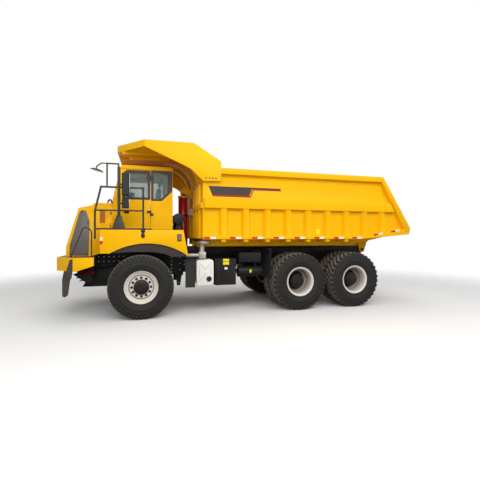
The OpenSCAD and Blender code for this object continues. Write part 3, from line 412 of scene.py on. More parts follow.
def rubber(name, colour, rough=0.78, dust=0.55, worn=None, shine=0.35):
    f = Finish(name)
    cloud = f.noise(3.0, 5, 0.6)
    specks = f.eased(f.noise(55, 5, 0.7), 0.45, 0.8)
    low = 1 - f.eased(f.height(), 0.0, 0.9)
    dusty = (0.25 + low * 0.5) * (0.35 + specks * 0.65) * cloud * dust
    shade = f.mixed(dusty, colour, (0.23, 0.19, 0.14))
    if worn:
        shade = f.mixed(f.wearAndShade() * (0.35 + specks * 0.65), shade, worn)
    return f.surface(colour=shade, rough=rough + dusty * 0.2, shine=shine,
                     normal=f.bump(f.noise(170, 3, 0.6), 0.4, 0.0006))


def bareMetal(name, colour, rough=0.38):
    f = Finish(name)
    brushed = f.noise(30, 4, 0.6, size=(1, 12, 12))
    heat = f.eased(f.noise(2.2, 3, 0.6), 0.35, 0.7)
    return f.surface(colour=f.mixed(heat * 0.5, colour, [c * v for c, v in zip(colour, (1.0, 0.82, 0.62))]),
                     metal=0.75, rough=rough + brushed * 0.2, normal=f.bump(brushed, 0.15, 0.0005))


def plastic(name, colour, rough=0.5, grain=260.0):
    f = Finish(name)
    cloud = f.noise(2.5, 3, 0.5)
    pores = f.noise(grain, 2, 0.5)
    return f.surface(colour=f.mixed(cloud * 0.25, colour, [c * 0.82 for c in colour]),
                     rough=rough + cloud * 0.08, shine=0.25, normal=f.bump(pores, 0.25, 0.0003))


def windowGlass(name, colour, alpha):
    f = Finish(name)
    film = f.noise(1.8, 4, 0.6)
    smear = f.eased(film, 0.45, 0.8)
    return f.surface(colour=f.mixed(smear * 0.15, colour, (0.75, 0.80, 0.78)), rough=0.04 + smear * 0.05,
                     alpha=alpha + smear * 0.06, shine=0.25)


def wovenCloth(name, colour, threads=1400):
    f = Finish(name)
    along = f.node("SeparateXYZ", None, {0: f.place}, out=0)
    across = f.node("SeparateXYZ", None, {0: f.place}, out=1)
    warp = f.maths("SINE", along * threads)
    weft = f.maths("SINE", across * threads)
    weave = warp * weft * 0.5 + 0.5
    return f.surface(colour=f.mixed(weave * 0.6, colour, [c * 2.6 for c in colour]), rough=0.85, fuzz=0.3,
                     normal=f.bump(weave, 0.5, 0.0008))


def lampGlass(name, colour, ribs=70.0):
    f = Finish(name)
    across = f.node("SeparateXYZ", None, {0: f.place}, out=1)
    wave = f.maths("SINE", across * ribs * 6) * 0.5 + 0.5
    return f.surface(colour=f.mixed(wave * 0.3, colour, [c * 0.7 for c in colour]), rough=0.12, coat=0.8,
                     coatRough=0.03, normal=f.bump(wave, 0.4, 0.002))


print("finishes")
yellow = paint("yellow paint", (0.93, 0.480, 0.001), rough=0.45, coat=0.03, dust=0.5, shine=0.09)
darkPaint = paint("dark paint", (0.058, 0.048, 0.041), rough=0.45, coat=0.03, dust=0.7)
trimPaint = paint("trim paint", (0.135, 0.122, 0.112), rough=0.42, coat=0.1, dust=0.6)
blackPaint = paint("black paint", (0.012, 0.012, 0.012), rough=0.45, coat=0.05, dust=0.3)
hubPaint = paint("hub paint", (0.014, 0.013, 0.012), rough=0.45, coat=0.08, dust=0.3)
# its second colour is painted shade, with some grime, for the rim's groove and well
creamPaint = paint("cream paint", (0.72, 0.66, 0.60), rough=0.38, coat=0.2, shadeAndGrime=(0.20, 0.17, 0.15))
greyPaint = paint("light grey paint", (0.42, 0.41, 0.40), rough=0.4, coat=0.1)
redPaint = paint("red paint", (0.40, 0.012, 0.014), rough=0.28, coat=0.4, dust=0.3)
# an orange brown that paints the shade inside the nose vents' recess
ventShadePaint = paint("vent recess shade paint", (0.42, 0.15, 0.02), rough=0.45, coat=0.1)
steel = bareMetal("heat stained steel", (0.36, 0.345, 0.32))
steelDark = bareMetal("dark steel", (0.06, 0.056, 0.052))
tyreRubber = rubber("tyre rubber", (0.009, 0.0088, 0.0084), rough=0.66, dust=0.18,
                    worn=(0.38, 0.32, 0.25), shine=0.32)
archRubber = rubber("arch rubber", (0.038, 0.032, 0.028), rough=0.6, dust=0.3, shine=0.2)
flapRubber = rubber("flap rubber", (0.016, 0.016, 0.017), rough=0.65, dust=0.35)
greenGlass = windowGlass("window glass", (0.12, 0.21, 0.19), 0.30)
mirrorGlass = bareMetal("mirror glass", (0.75, 0.80, 0.84), rough=0.05)
whitePlastic = plastic("white plastic", (0.87, 0.85, 0.80))
ridgePlastic = plastic("moulded ridge", (0.62, 0.60, 0.54))
blackPlastic = plastic("black plastic", (0.011, 0.011, 0.013))
greyPlastic = plastic("grey plastic", (0.16, 0.15, 0.14))
labelYellow = plastic("yellow plate", (0.92, 0.72, 0.02), rough=0.4)
seatCloth = wovenCloth("seat cloth", (0.035, 0.036, 0.040))
lampClear = lampGlass("clear lens", (0.80, 0.80, 0.78))
lampAmber = lampGlass("amber lens", (0.85, 0.33, 0.02))
lampRed = lampGlass("red lens", (0.50, 0.02, 0.015))
tapeRed = plastic("red tape", (0.60, 0.02, 0.012), rough=0.35, grain=420.0)
tapeWhite = plastic("white tape", (0.85, 0.84, 0.80), rough=0.35, grain=420.0)


# Camera, light and floor

shot = {
    "place": (2.444, 8.8208, 1.75), "turnToRear": 15.8, "lens": 24.9, "sensor": 36,
    "horizonRows": 3, "imageRows": 480, "farthest": 200,
}


def placeCamera():
    turn = math.radians(180 - shot["turnToRear"])
    bpy.ops.object.camera_add(location=shot["place"], rotation=(math.pi / 2, 0, turn))
    camera = bpy.context.object
    camera.data.lens = shot["lens"]
    camera.data.sensor_width = shot["sensor"]
    camera.data.shift_y = -shot["horizonRows"] / shot["imageRows"]
    camera.data.clip_end = shot["farthest"]
    bpy.context.scene.camera = camera


studio = {
    "lamps": [
        # name, place, aimed at, power, width
        ("keyLamp", (-3.5, 9.0, 8.0), (-1.0, 0, 1.5), 390, 6.0),
        ("sideLamp", (3.0, 10.5, 6.8), (1.2, 0, 1.8), 650, 7.0),
        ("skyLamp", (0.0, 0.5, 12.0), (0, 0, 0), 360, 9.0),
        ("noseLamp", (9.5, 6.5, 6.0), (2.0, 0, 1.4), 80, 6.0),
        ("backLamp", (-5.0, -9.0, 7.0), (0, 0, 1.5), 260, 7.0),
    ],
    "worldLight": 0.38, "floorColour": (0.88, 0.88, 0.875), "floorBounce": (0.36, 0.36, 0.35),
    "floorSize": 60.0, "floorHeight": -0.001, "fadeFrom": 6.5, "fadeTo": 13.0,
}


def lightStudio():
    for name, place, aim, power, width in studio["lamps"]:
        bpy.ops.object.light_add(type="AREA", location=place)
        lamp = bpy.context.object
        lamp.name = name
        lamp.data.energy = power
        lamp.data.size = width
        lamp.rotation_euler = (Vector(aim) - Vector(place)).to_track_quat("-Z", "Y").to_euler()
    world = bpy.data.worlds.new("studio")
    bpy.context.scene.world = world
    world.use_nodes = True
    tree = world.node_tree
    tree.nodes.clear()
    rays = tree.nodes.new("ShaderNodeLightPath")
    seen = None
    for ray in ("Is Camera Ray", "Is Glossy Ray", "Is Transmission Ray"):
        if seen is None:
            seen = rays.outputs[ray]
            continue
        add = tree.nodes.new("ShaderNodeMath")
        add.operation = "MAXIMUM"
        tree.links.new(seen, add.inputs[0])
        tree.links.new(rays.outputs[ray], add.inputs[1])
        seen = add.outputs[0]
    strength = tree.nodes.new("ShaderNodeMapRange")
    tree.links.new(seen, strength.inputs["Value"])
    strength.inputs["To Min"].default_value = studio["worldLight"]
    strength.inputs["To Max"].default_value = 1.0
    back = tree.nodes.new("ShaderNodeBackground")
    back.inputs["Color"].default_value = (1, 1, 1, 1)
    tree.links.new(strength.outputs[0], back.inputs["Strength"])
    out = tree.nodes.new("ShaderNodeOutputWorld")
    tree.links.new(back.outputs[0], out.inputs["Surface"])


def layFloor():
    clearSelection()
    bpy.ops.mesh.primitive_plane_add(size=studio["floorSize"], location=(0, 0, studio["floorHeight"]))
    floor = bpy.context.object
    floor.name = "studioFloor"
    f = Finish("studio floor")
    reach = f.node("VectorMath", {"operation": "LENGTH"}, {0: f.place}, out="Value")
    fade = f.eased(reach, studio["fadeFrom"], studio["fadeTo"])
    seen = f.node("LightPath", out="Is Camera Ray")
    colour = f.mixed(seen, studio["floorBounce"], studio["floorColour"])
    ground = f.node("BsdfDiffuse", None, {"Color": colour})
    clear = f.node("BsdfTransparent")
    f.output(f.node("MixShader", None, {0: fade, 1: ground, 2: clear}))
    floor.data.materials.append(f.material)


print("camera, light and floor")
bpy.context.scene.view_settings.view_transform = "Standard"
placeCamera()
lightStudio()
layFloor()


# The plain finish of every CAD node, by its slot in the record

slotFinish = {
    "yellow_paint": yellow, "dark_paint": darkPaint, "black_paint": blackPaint, "rim_paint": creamPaint,
    "red_paint": redPaint, "bare_steel": steel, "tyre_rubber": tyreRubber, "flap_rubber": flapRubber,
    "window_glass": greenGlass, "white_plastic": whitePlastic, "black_plastic": blackPlastic,
    "seat_cloth": seatCloth, "lamp_lens": lampClear,
}
nodeSlot = {part["node"]: part["material_slot"] for part in record["subparts"]}
bodyOf = {node: body for body, nodes in record["behaviour"]["bodies"].items() for node in nodes}
for node, piece in frame["nodes"].items():
    piece.data.materials.clear()
    piece.data.materials.append(slotFinish[nodeSlot[node]])

softEdges = {
    # node: width of its rounded edges
    "bed_shell": 0.006, "canopy": 0.004, "front_bumper": 0.006, "nose_shell": 0.006, "hood": 0.014,
    "fender_left": 0.005, "fender_right": 0.005, "cab_shell": 0.012, "cab_roof": 0.014, "door": 0.008,
    "nose_trim": 0.003, "side_tanks": 0.012, "urea_tank": 0.03,
    "power_unit": 0.012, "front_axle": 0.01, "leaf_springs": 0.003, "exhaust": 0.004,
    "air_cleaner": 0.004, "chassis_frame": 0.003, "cross_members": 0.003, "deck_beams": 0.004,
    "belly_guard": 0.003, "drive_axles": 0.008, "hoist_barrel": 0.004, "deck_rails": 0.002,
}
ownFinish = {"nose_trim": trimPaint}
print("soft edges on the CAD shapes")
for node, edge in softEdges.items():
    material = ownFinish.get(node, slotFinish[nodeSlot[node]])
    finished(softCopy(node, edge), material, bodyOf[node])


# Tyres: a carcass turned from its section, and tread blocks copied round it

tyreLook = {
    "radius": 0.685, "halfWidth": 0.1875, "tread": 0.028, "blockFoot": 0.012, "footTaper": 1.08,
    # crown: how far the blocks stay below the radius; crownEdge: from how far across, and how far there
    "crown": 0.0004, "crownEdge": (0.14, 0.0104), "twinTurn": 0.06,
    "section": [
        # radius, place across
        (0.318, 0.110), (0.345, 0.135), (0.356, 0.150), (0.372, 0.158), (0.380, 0.170), (0.440, 0.1840),
        (0.470, 0.1856), (0.474, 0.1872), (0.482, 0.1872), (0.486, 0.1850), (0.545, 0.1835), (0.549, 0.1865),
        (0.560, 0.1862), (0.566, 0.1825), (0.600, 0.1800), (0.632, 0.1740), (0.648, 0.1640),
        (0.655, 0.1500), (0.657, 0.0800),
    ],
    "rows": {
        # pitches round the tyre; row: across from, across to, share of the pitch, skew, offset
        "rear": (34, [(0.100, 0.166, 0.60, 0.10, 0.0), (0.011, 0.080, 0.58, 0.34, 0.5),
                      (-0.080, -0.011, 0.58, 0.34, 0.0), (-0.166, -0.100, 0.60, 0.10, 0.5),
                      (0.150, 0.1852, 0.56, 0.0, 0.0), (-0.1852, -0.150, 0.56, 0.0, 0.5)]),
        "front": (48, [(0.100, 0.164, 0.60, 0.06, 0.0), (0.052, 0.090, 0.80, 0.30, 0.5),
                       (-0.018, 0.042, 0.78, -0.30, 0.2), (-0.052, -0.090, 0.80, 0.30, 0.5),
                       (-0.164, -0.100, 0.60, 0.06, 0.0), (0.150, 0.1852, 0.50, 0.0, 0.0),
                       (-0.1852, -0.150, 0.50, 0.0, 0.0)]),
    },
    "blockRound": 0.005, "shoulder": (0.596, 0.641), "shoulderFrom": 0.170,
    "wornFrom": 0.632, "wornShoulder": 0.12, "wornTread": 0.670,
}


def blockHeights(across):
    # lowest and highest radius of a block at one place across the tread
    look = tyreLook
    if abs(across) > look["shoulderFrom"]:
        return look["shoulder"]
    edgeFrom, edgeDrop = look["crownEdge"]
    top = look["radius"] - (edgeDrop if abs(across) > edgeFrom else look["crown"])
    return look["radius"] - look["tread"] - look["blockFoot"], top


def treadBlock(name, pitch, across0, across1, share, skew, offset):
    look = tyreLook
    half = pitch * share / 2
    corners = []
    for level, taper in enumerate((look["footTaper"], 1.0)):
        for across in sorted((across0, across1)):
            radius = blockHeights(across)[level]
            lean = (across - (across0 + across1) / 2) / abs(across1 - across0) * skew * pitch
            for side in (-1, 1):
                turn = offset * pitch + lean + side * half * taper
                corners.append((radius * math.sin(turn), across, radius * math.cos(turn)))
    faces = [(0, 1, 3, 2), (4, 6, 7, 5), (0, 4, 5, 1), (2, 3, 7, 6), (0, 2, 6, 4), (1, 5, 7, 3)]
    block = fromPoints(name, corners, faces=faces)
    editing(block)
    bpy.ops.mesh.normals_make_consistent(inside=False)
    closeEdit()

    def worn(spot):
        radius = math.hypot(spot.x, spot.z)
        if radius > look["wornTread"]:
            return 1.0
        onShoulder = radius > look["wornFrom"] and abs(spot.y) > look["shoulderFrom"]
        return look["wornShoulder"] if onShoulder else 0.0

    return marked(rounded(block, look["blockRound"], 1), worn)


def ringOfCopies(piece, count):
    copies = [copyOf(piece, Matrix.Rotation(2 * math.pi * i / count, 4, "Y")) for i in range(count)]
    bpy.data.objects.remove(piece)
    return copies


def buildTyre(kind):
    section = tyreLook["section"]
    whole = section + [(r, -t) for r, t in reversed(section)]
    carcass = turned("carcass", whole, (0, 0, 0), steps=96, angle=28)
    count, rows = tyreLook["rows"][kind]
    blocks = []
    for row in rows:
        blocks += ringOfCopies(treadBlock("tread", 2 * math.pi / count, *row), count)
    return joined(kind + "Tyre", [carcass, *blocks])


rimLook = {
    "barrel": [
        (0.3500, 0.165), (0.3500, 0.151), (0.3390, 0.143), (0.3175, 0.119), (0.3175, -0.119),
        (0.3390, -0.143), (0.3500, -0.151), (0.3500, -0.165), (0.3390, -0.165), (0.2990, -0.128),
    ],
    "frontFace": [
        (0.2990, 0.040), (0.2640, 0.046), (0.1200, 0.062), (0.1200, 0.092), (0.2330, 0.092), (0.2400, 0.086),
        (0.2450, 0.066), (0.2600, 0.066), (0.2640, 0.098), (0.2700, 0.106), (0.2860, 0.108), (0.3000, 0.114),
        (0.3120, 0.136), (0.3220, 0.140), (0.3300, 0.146), (0.3380, 0.160), (0.3430, 0.165),
    ],
    "rearFace": [
        (0.2990, 0.122), (0.3040, 0.140), (0.3160, 0.148), (0.3260, 0.152), (0.3320, 0.158), (0.3430, 0.165),
    ],
    # painted shade with some grime: radii and depth of the front groove; radius, depth and share of the rear
    # well
    "shadeGroove": (0.240, 0.262, 0.080), "shadeWell": (0.3000, 0.10, 0.80),
    "frontHub": [
        (0.0, 0.168), (0.050, 0.168), (0.056, 0.162), (0.060, 0.154), (0.098, 0.150), (0.106, 0.144),
        (0.132, 0.139), (0.144, 0.130), (0.156, 0.128), (0.160, 0.121), (0.160, 0.090),
    ],
    "rearHub": [
        (0.0, 0.056), (0.048, 0.056), (0.052, 0.049), (0.088, 0.046), (0.096, 0.036), (0.128, 0.030),
        (0.136, 0.018), (0.160, 0.012), (0.168, -0.004), (0.168, -0.150), (0.190, -0.160), (0.232, -0.160),
        (0.236, -0.196),
    ],
    # count, ring radius, place across, size, height
    "frontNuts": (12, 0.198, 0.092, 0.019, 0.026), "rearNuts": (12, 0.212, -0.160, 0.014, 0.022),
    "frontCapBolts": (10, 0.118, 0.1415, 0.009, 0.007), "rearCapBolts": (10, 0.146, 0.0150, 0.009, 0.007),
    "disc": (-0.226, -0.196), "discRadii": (0.100, 0.276, 0.300), "discFlare": 0.024,
    "spacer": (0.2960, 0.3160), "spacerEnd": 0.150,
}


def ringOfStuds(name, count, radius, across, size, height):
    places = []
    for i in range(count):
        turn = 2 * math.pi * i / count
        places.append((radius * math.sin(turn), across, radius * math.cos(turn)))
    return studs(name, places, (0, 1, 0), size, height)


def buildWheel(kind, twinGap):
    look = rimLook
    if kind == "front":
        rim = [turned("rim", look["barrel"] + look["frontFace"], (0, 0, 0), steps=72)]
    else:
        barrel = turned("rim", look["barrel"] + look["rearFace"], (0, 0, 0), steps=72)
        inner = copyOf(barrel, Matrix.Translation((0, -twinGap, 0)))
        back, front = look["disc"]
        hole, flat, outer = look["discRadii"]
        disc = [(outer, back), (hole, back), (hole, front), (flat, front), (outer, front + look["discFlare"])]
        end = look["spacerEnd"]
        band = bandProfile(*look["spacer"], end - twinGap, -end)
        rim = [barrel, inner, turned("disc", disc, (0, 0, 0), steps=72),
               turned("band", band, (0, 0, 0), steps=72)]
    inside, outside, deep = look["shadeGroove"]
    well, wellDeep, wellShare = look["shadeWell"]

    # darkens the front groove and the rear well with painted shade, with some grime, where shadow falls in the
    # rim
    def shadeAndGrimeShare(spot):
        radius = math.hypot(spot.x, spot.z)
        if kind == "front":
            return 1.0 if inside < radius < outside and spot.y < deep else 0.0
        return wellShare if radius < well and spot.y < wellDeep else 0.0

    rim = [marked(piece, shadeAndGrimeShare) for piece in rim]
    hub = [turned("hub", look[kind + "Hub"], (0, 0, 0), steps=48, closed=False, angle=30)]
    hub.append(ringOfStuds("nuts", *look[kind + "Nuts"]))
    hub.append(ringOfStuds("capBolts", *look[kind + "CapBolts"]))
    return joined(kind + "Rim", rim), joined(kind + "Hub", hub)


def mountWheels():
    for kind, marks in (("front", ("fl", "fr")), ("rear", ("ml", "mr", "rl", "rr"))):
        low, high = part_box("tyre_" + marks[0])
        width = 2 * tyreLook["halfWidth"]
        twinGap = (high.y - low.y) - width
        tyre = buildTyre(kind)
        if kind == "rear":
            turn = Matrix.Rotation(tyreLook["twinTurn"], 4, "Y")
            inner = copyOf(tyre, Matrix.Translation((0, -twinGap, 0)) @ turn)
            tyre = joined(kind + "Tyre", [tyre, inner])
        rim, hub = buildWheel(kind, twinGap)
        for mark in marks:
            low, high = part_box("tyre_" + mark)
            left = high.y > 0
            side = 1 if left else -1
            edge = high.y if left else -low.y
            spot = Matrix.Translation(((low.x + high.x) / 2, side * (edge - width / 2), (low.z + high.z) / 2))
            flip = Matrix.Identity(4) if left else Matrix.Scale(-1, 4, (0, 1, 0))
            body = bodyOf["tyre_" + mark]
            for source, label, material, slot in ((tyre, "tyreTread_", tyreRubber, "tyre_rubber"),
                                                  (rim, "rimShell_", creamPaint, "rim_paint"),
                                                  (hub, "hubCap_", hubPaint, "black_paint")):
                finished(copyOf(source, spot @ flip, label + mark), material, body)
            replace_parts(bpy.data.objects["tyreTread_" + mark], "tyre_" + mark)
            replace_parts(bpy.data.objects["rimShell_" + mark], "rim_" + mark)
        for each in (tyre, rim, hub):
            bpy.data.objects.remove(each)


print("wheels")
mountWheels()

# Bed: the stripe along its top, tape on the ledge, bolts on the skirt and a guard beside the hoist

bedLook = {
    "face": 1.550, "filmThick": 0.0025, "ledgeFace": 1.645, "tapeThick": 0.0018, "skirtFace": 1.640,
    "darkStripe": [(1.112, 2.885), (1.032, 2.690), (0.165, 2.690), (0.100, 2.850), (-0.600, 2.850),
                   (-0.615, 2.885)],
    "redStripe": [(1.032, 2.690), (1.018, 2.652), (0.130, 2.652), (0.064, 2.822), (-0.630, 2.822),
                  (-0.600, 2.850), (0.085, 2.850), (0.148, 2.690)],
    "sidePlate": ((-1.641, 1.815), (-1.541, 1.945)),
    "tapeHigh": 0.044, "redLong": 0.135, "whiteLong": 0.130,
    "tapes": [
        # front end, height of the middle, rise towards the tail
        (1.228, 1.731, 0.0), (0.645, 1.731, 0.0), (0.131, 1.731, 0.0), (-0.394, 1.731, 0.0),
        (-0.924, 1.731, 0.0), (-1.441, 1.731, 0.0), (-1.972, 1.731, 0.0), (-2.489, 1.731, 0.0),
        (-3.110, 1.801, 0.158), (-3.634, 1.884, 0.158),
    ],
    "boltHoles": [1.184, 1.100, 1.030, 0.962], "boltHeight": 3.044,
}


def tapeStrip(name, start, long, mid, rise, face):
    look = bedLook
    half = look["tapeHigh"] / 2
    ends = [(start, mid), (start - long, mid + long * rise)]
    outline = [(ends[0][0], ends[0][1] - half), (ends[0][0], ends[0][1] + half),
               (ends[1][0], ends[1][1] + half), (ends[1][0], ends[1][1] - half)]
    return cutPlate(name, outline, face, face + look["tapeThick"], edge=0.0004, segments=1)


def dressBed():
    look = bedLook
    face, film = look["face"], look["filmThick"]
    body = bodyOf["bed_shell"]
    for name, material in (("darkStripe", darkPaint), ("redStripe", redPaint)):
        plate = cutPlate(name, look[name], face, face + film, edge=0.0006, segments=1)
        finished(bothSides(name, plate), material, body)
    (x0, z0), (x1, z1) = look["sidePlate"]
    plate = block("plate", (x0, face, z0), (x1, face + film, z1), 0.0006, 1)
    finished(bothSides("bedLabel", plate), labelYellow, body)
    reds, whites = [], []
    for start, mid, rise in look["tapes"]:
        ledge = look["ledgeFace"]
        reds.append(tapeStrip("tape", start, look["redLong"], mid, rise, ledge))
        far = start - look["redLong"]
        whites.append(tapeStrip("tape", far, look["whiteLong"], mid + look["redLong"] * rise, rise, ledge))
    finished(bothSides("redTape", joined("redTape", reds)), tapeRed, body)
    finished(bothSides("whiteTape", joined("whiteTape", whites)), tapeWhite, body)
    places = [(x, look["skirtFace"], look["boltHeight"]) for x in look["boltHoles"]]
    bolts = studs("bolts", places, (0, 1, 0), 0.013, 0.008)
    finished(bothSides("skirtBolts", bolts), steelDark, bodyOf["canopy"])


guardLook = {
    "tube": 0.012, "place": 0.190, "plate": ((1.244, 2.320), (1.340, 2.470)), "plateHalf": 0.02,
    "outline": [(1.240, 2.300), (1.385, 2.340), (1.396, 2.800), (1.335, 2.880), (1.240, 2.880)],
}
hoistLook = {
    "middle": (1.510, 0.0), "barrel": 0.120, "bandSunk": 0.002,
    "bands": [
        # height from, height to, radius
        (2.285, 2.325, 0.1265), (2.775, 2.822, 0.129),
    ],
}


def dressHoist():
    look = hoistLook
    x, y = look["middle"]
    body = bodyOf["hoist_barrel"]
    inner = look["barrel"] - look["bandSunk"]
    parts = zip(look["bands"], (blackPaint, yellow), ("hoistBand", "hoistCap"))
    for (low, high, radius), material, name in parts:
        ring = turned(name, bandProfile(inner, radius, low, high), (x, y, 0), "z", 64)
        finished(rounded(ring, 0.003), material, body)
    guard = guardLook
    y, half = guard["place"], guard["plateHalf"]
    pieces = [pipe("guard", [(a, y, b) for a, b in guard["outline"]], guard["tube"], 0.03)]
    (x0, z0), (x1, z1) = guard["plate"]
    pieces.append(block("plate", (x0, y - half, z0), (x1, y + half, z1), 0.006))
    finished(joined("hoistGuard", pieces), greyPaint, bodyOf["bed_shell"])


print("bed and hoist")
dressBed()
dressHoist()


# Cab: dark frames round the windows, the raised panel behind the door, and wipers

cabLook = {
    "left": 1.000, "right": -0.650, "rear": 1.850, "proud": 0.004, "bend": 0.02,
    # each frame: its outer corners, then the corners of its opening
    "doorFrame": ([(2.352, 2.592), (2.951, 2.592), (2.951, 3.154), (2.852, 3.253), (2.352, 3.253)],
                  [(2.408, 2.645), (2.895, 2.645), (2.895, 3.130), (2.828, 3.197), (2.408, 3.197)]),
    "quarterFrame": ([(1.858, 2.800), (2.098, 2.572), (2.334, 2.572), (2.334, 3.267), (1.858, 3.267)],
                     [(1.955, 2.773), (2.122, 2.625), (2.281, 2.625), (2.281, 3.226), (1.955, 3.177)]),
    "rightFrame": ([(1.950, 2.590), (2.952, 2.590), (2.930, 3.267), (1.950, 3.267)],
                   [(2.005, 2.645), (2.895, 2.645), (2.875, 3.225), (2.005, 3.225)]),
    "rearFrame": ([(-0.500, 2.610), (0.850, 2.610), (0.850, 3.267), (-0.500, 3.267)],
                  [(-0.445, 2.665), (0.795, 2.665), (0.795, 3.225), (-0.445, 3.225)]),
    "screenFrame": ([(-0.630, -0.010), (0.980, -0.010), (0.980, 0.688), (-0.630, 0.688)],
                    [(-0.565, 0.046), (0.915, 0.046), (0.915, 0.642), (-0.565, 0.642)]),
    "screenFoot": (3.150, 2.600), "screenLean": -13.43,
    "panel": [(2.336, 2.560), (2.215, 2.514), (2.108, 2.453), (2.013, 2.377), (1.931, 2.287), (1.862, 2.184),
              (1.862, 1.925), (2.336, 1.925)],
    "panelProud": 0.005,
    "wipers": [
        # foot across, blade's middle across, blade's lean
        (0.620, 0.300, 0.10), (-0.060, -0.330, 0.10),
    ],
    # arm: how far out and how high at its foot, bend and end; blade: out, height, half length, rise
    "wiperArm": [(0.012, -0.030), (0.022, 0.02), (0.016, 0.235)], "armRadius": 0.006,
    "wiperBlade": (0.011, 0.235, 0.235, 0.22), "bladeRadius": 0.007,
}


def onScreen(piece):
    # from a flat plate at x = 0 to the leaning windscreen
    x, z = cabLook["screenFoot"]
    lean = Matrix.Rotation(math.radians(cabLook["screenLean"]), 4, "Y")
    piece.data.transform(Matrix.Translation((x, 0, z)) @ lean)
    return piece


def dressCab():
    look = cabLook
    left, right, rear, proud, bend = (look[key] for key in ("left", "right", "rear", "proud", "bend"))
    body, door = bodyOf["cab_shell"], bodyOf["door"]
    frames = [
        ringPlate("frame", *look["quarterFrame"], left, left + proud, bend=bend),
        ringPlate("frame", *look["rightFrame"], right - proud, right, bend=bend),
        ringPlate("frame", *look["rearFrame"], rear - proud, rear, "x", bend=bend),
        onScreen(ringPlate("frame", *look["screenFrame"], 0.0, proud, "x", bend=bend)),
    ]
    finished(joined("windowFrames", frames), darkPaint, body)
    finished(ringPlate("doorFrame", *look["doorFrame"], left, left + proud, bend=bend), darkPaint, door)
    panel = cutPlate("panel", look["panel"], left, left + look["panelProud"], edge=0.003)
    finished(joined("sidePanels", [panel]), yellow, body)
    arms = []
    (x0, z0), (x1, z1), (x2, z2) = look["wiperArm"]
    out, high, half, rise = look["wiperBlade"]
    for foot, middle, lean in look["wipers"]:
        arm = [(x0, foot, z0), (x1, foot, z1), (x2, middle, z2)]
        arms.append(pipe("arm", arm, look["armRadius"], 0.02))
        tilt = rise * lean
        blade = [(out, middle - half, high - tilt), (out, middle + half, high + tilt)]
        arms.append(pipe("blade", blade, look["bladeRadius"]))
    finished(onScreen(joined("wipers", arms)), blackPlastic, body)


# Door: its handle and the covers of its hinges

doorLook = {
    "hinge": (2.343, 1.015, 0.0150), "hinges": [2.290, 3.080], "hingeHigh": 0.0605, "leafProud": 0.0095,
    "cabLeaf": 2.281, "doorLeaf": 2.425,
    "face": 1.000, "plate": ((2.810, 2.275), (2.915, 2.325)), "grip": [(2.825, 2.305), (2.900, 2.305)],
    "proud": 0.026,
}


def dressDoor():
    look = doorLook
    face, (x0, z0), (x1, z1) = look["face"], *look["plate"]
    cup = block("cup", (x0, face, z0), (x1, face + 0.006, z1), 0.003)
    (a, z), (b, _) = look["grip"]
    y = face + look["proud"]
    grip = pipe("grip", [(a, face, z), (a, y, z), (b, y, z), (b, face, z)], 0.008, 0.015)
    finished(joined("doorHandle", [cup, grip]), blackPlastic, bodyOf["door"])
    x, y, radius = look["hinge"]
    high = look["hingeHigh"]
    sleeve = [(0.0, 0.0), (radius, 0.0), (radius, high), (0.0, high)]
    leaves = {"cab": [], "door": []}
    for z in look["hinges"]:
        for part, foot, far in (("cab", z - high, look["cabLeaf"]), ("door", z, look["doorLeaf"])):
            low, top = sorted((far, x))
            leaf = ((low, face, foot), (top, face + look["leafProud"], foot + high))
            leaves[part].append(block("leaf", *leaf, 0.001, 1))
            leaves[part].append(turned("sleeve", sleeve, (x, y, foot), "z", 24, closed=False))
    finished(joined("cabHingeCovers", leaves["cab"]), darkPaint, bodyOf["cab_shell"])
    finished(joined("doorHingeCovers", leaves["door"]), darkPaint, bodyOf["door"])


print("cab")
dressCab()
dressDoor()

# Nose: grille mesh, latches, louvred vents, grab rail, treads on the bumper and cables before the windscreen

noseLook = {
    "side": 0.950, "meshWires": 34, "meshHalf": 0.700, "meshWire": 0.003,
    "meshFoot": (4.070, 1.470), "meshBend": (4.066, 1.548), "meshTop": (3.850, 2.285),
    "latch": ((3.187, 2.236), (3.205, 2.316)), "ventPlate": ((3.312, 2.056), (3.422, 2.351)),
    # ventBar: in from the plate's ends, back and front face; cleat: from and to across, width, height
    "ventBars": 7, "ventBar": (0.008, 0.002, 0.008),
    "grabRail": [(3.541, 1.300, 1.322), (3.541, 1.300, 1.900), (3.690, 1.300, 1.970), (3.943, 1.300, 1.322)],
    "grabRadius": 0.014,
    "stepPlate": [(3.500, 0.954), (4.098, 0.954), (4.205, 1.090), (3.850, 1.474), (3.500, 1.474)],
    "middlePlate": [(4.096, -0.952), (4.214, -0.952), (4.214, 0.952), (4.096, 0.952)],
    "stepHeights": (1.308, 1.324), "stepCleats": (3.540, 3.840, 0.060),
    "cleat": (0.99, 1.44, 0.022, 0.003),
    "cables": [
        # points and radius
        ([(3.165, 0.900, 2.500), (3.190, 0.860, 2.590), (3.260, 0.760, 2.600), (3.300, 0.660, 2.506)], 0.013),
        ([(3.165, 0.780, 2.500), (3.200, 0.740, 2.570), (3.280, 0.600, 2.585), (3.320, 0.500, 2.506)], 0.011),
        ([(3.170, 0.650, 2.500), (3.180, 0.560, 2.565), (3.240, 0.420, 2.560), (3.290, 0.360, 2.506)], 0.012),
    ],
    "trimBolts": [(4.000, 1.375), (3.680, 1.375), (3.665, 2.060), (3.790, 2.300), (3.990, 1.580)],
}


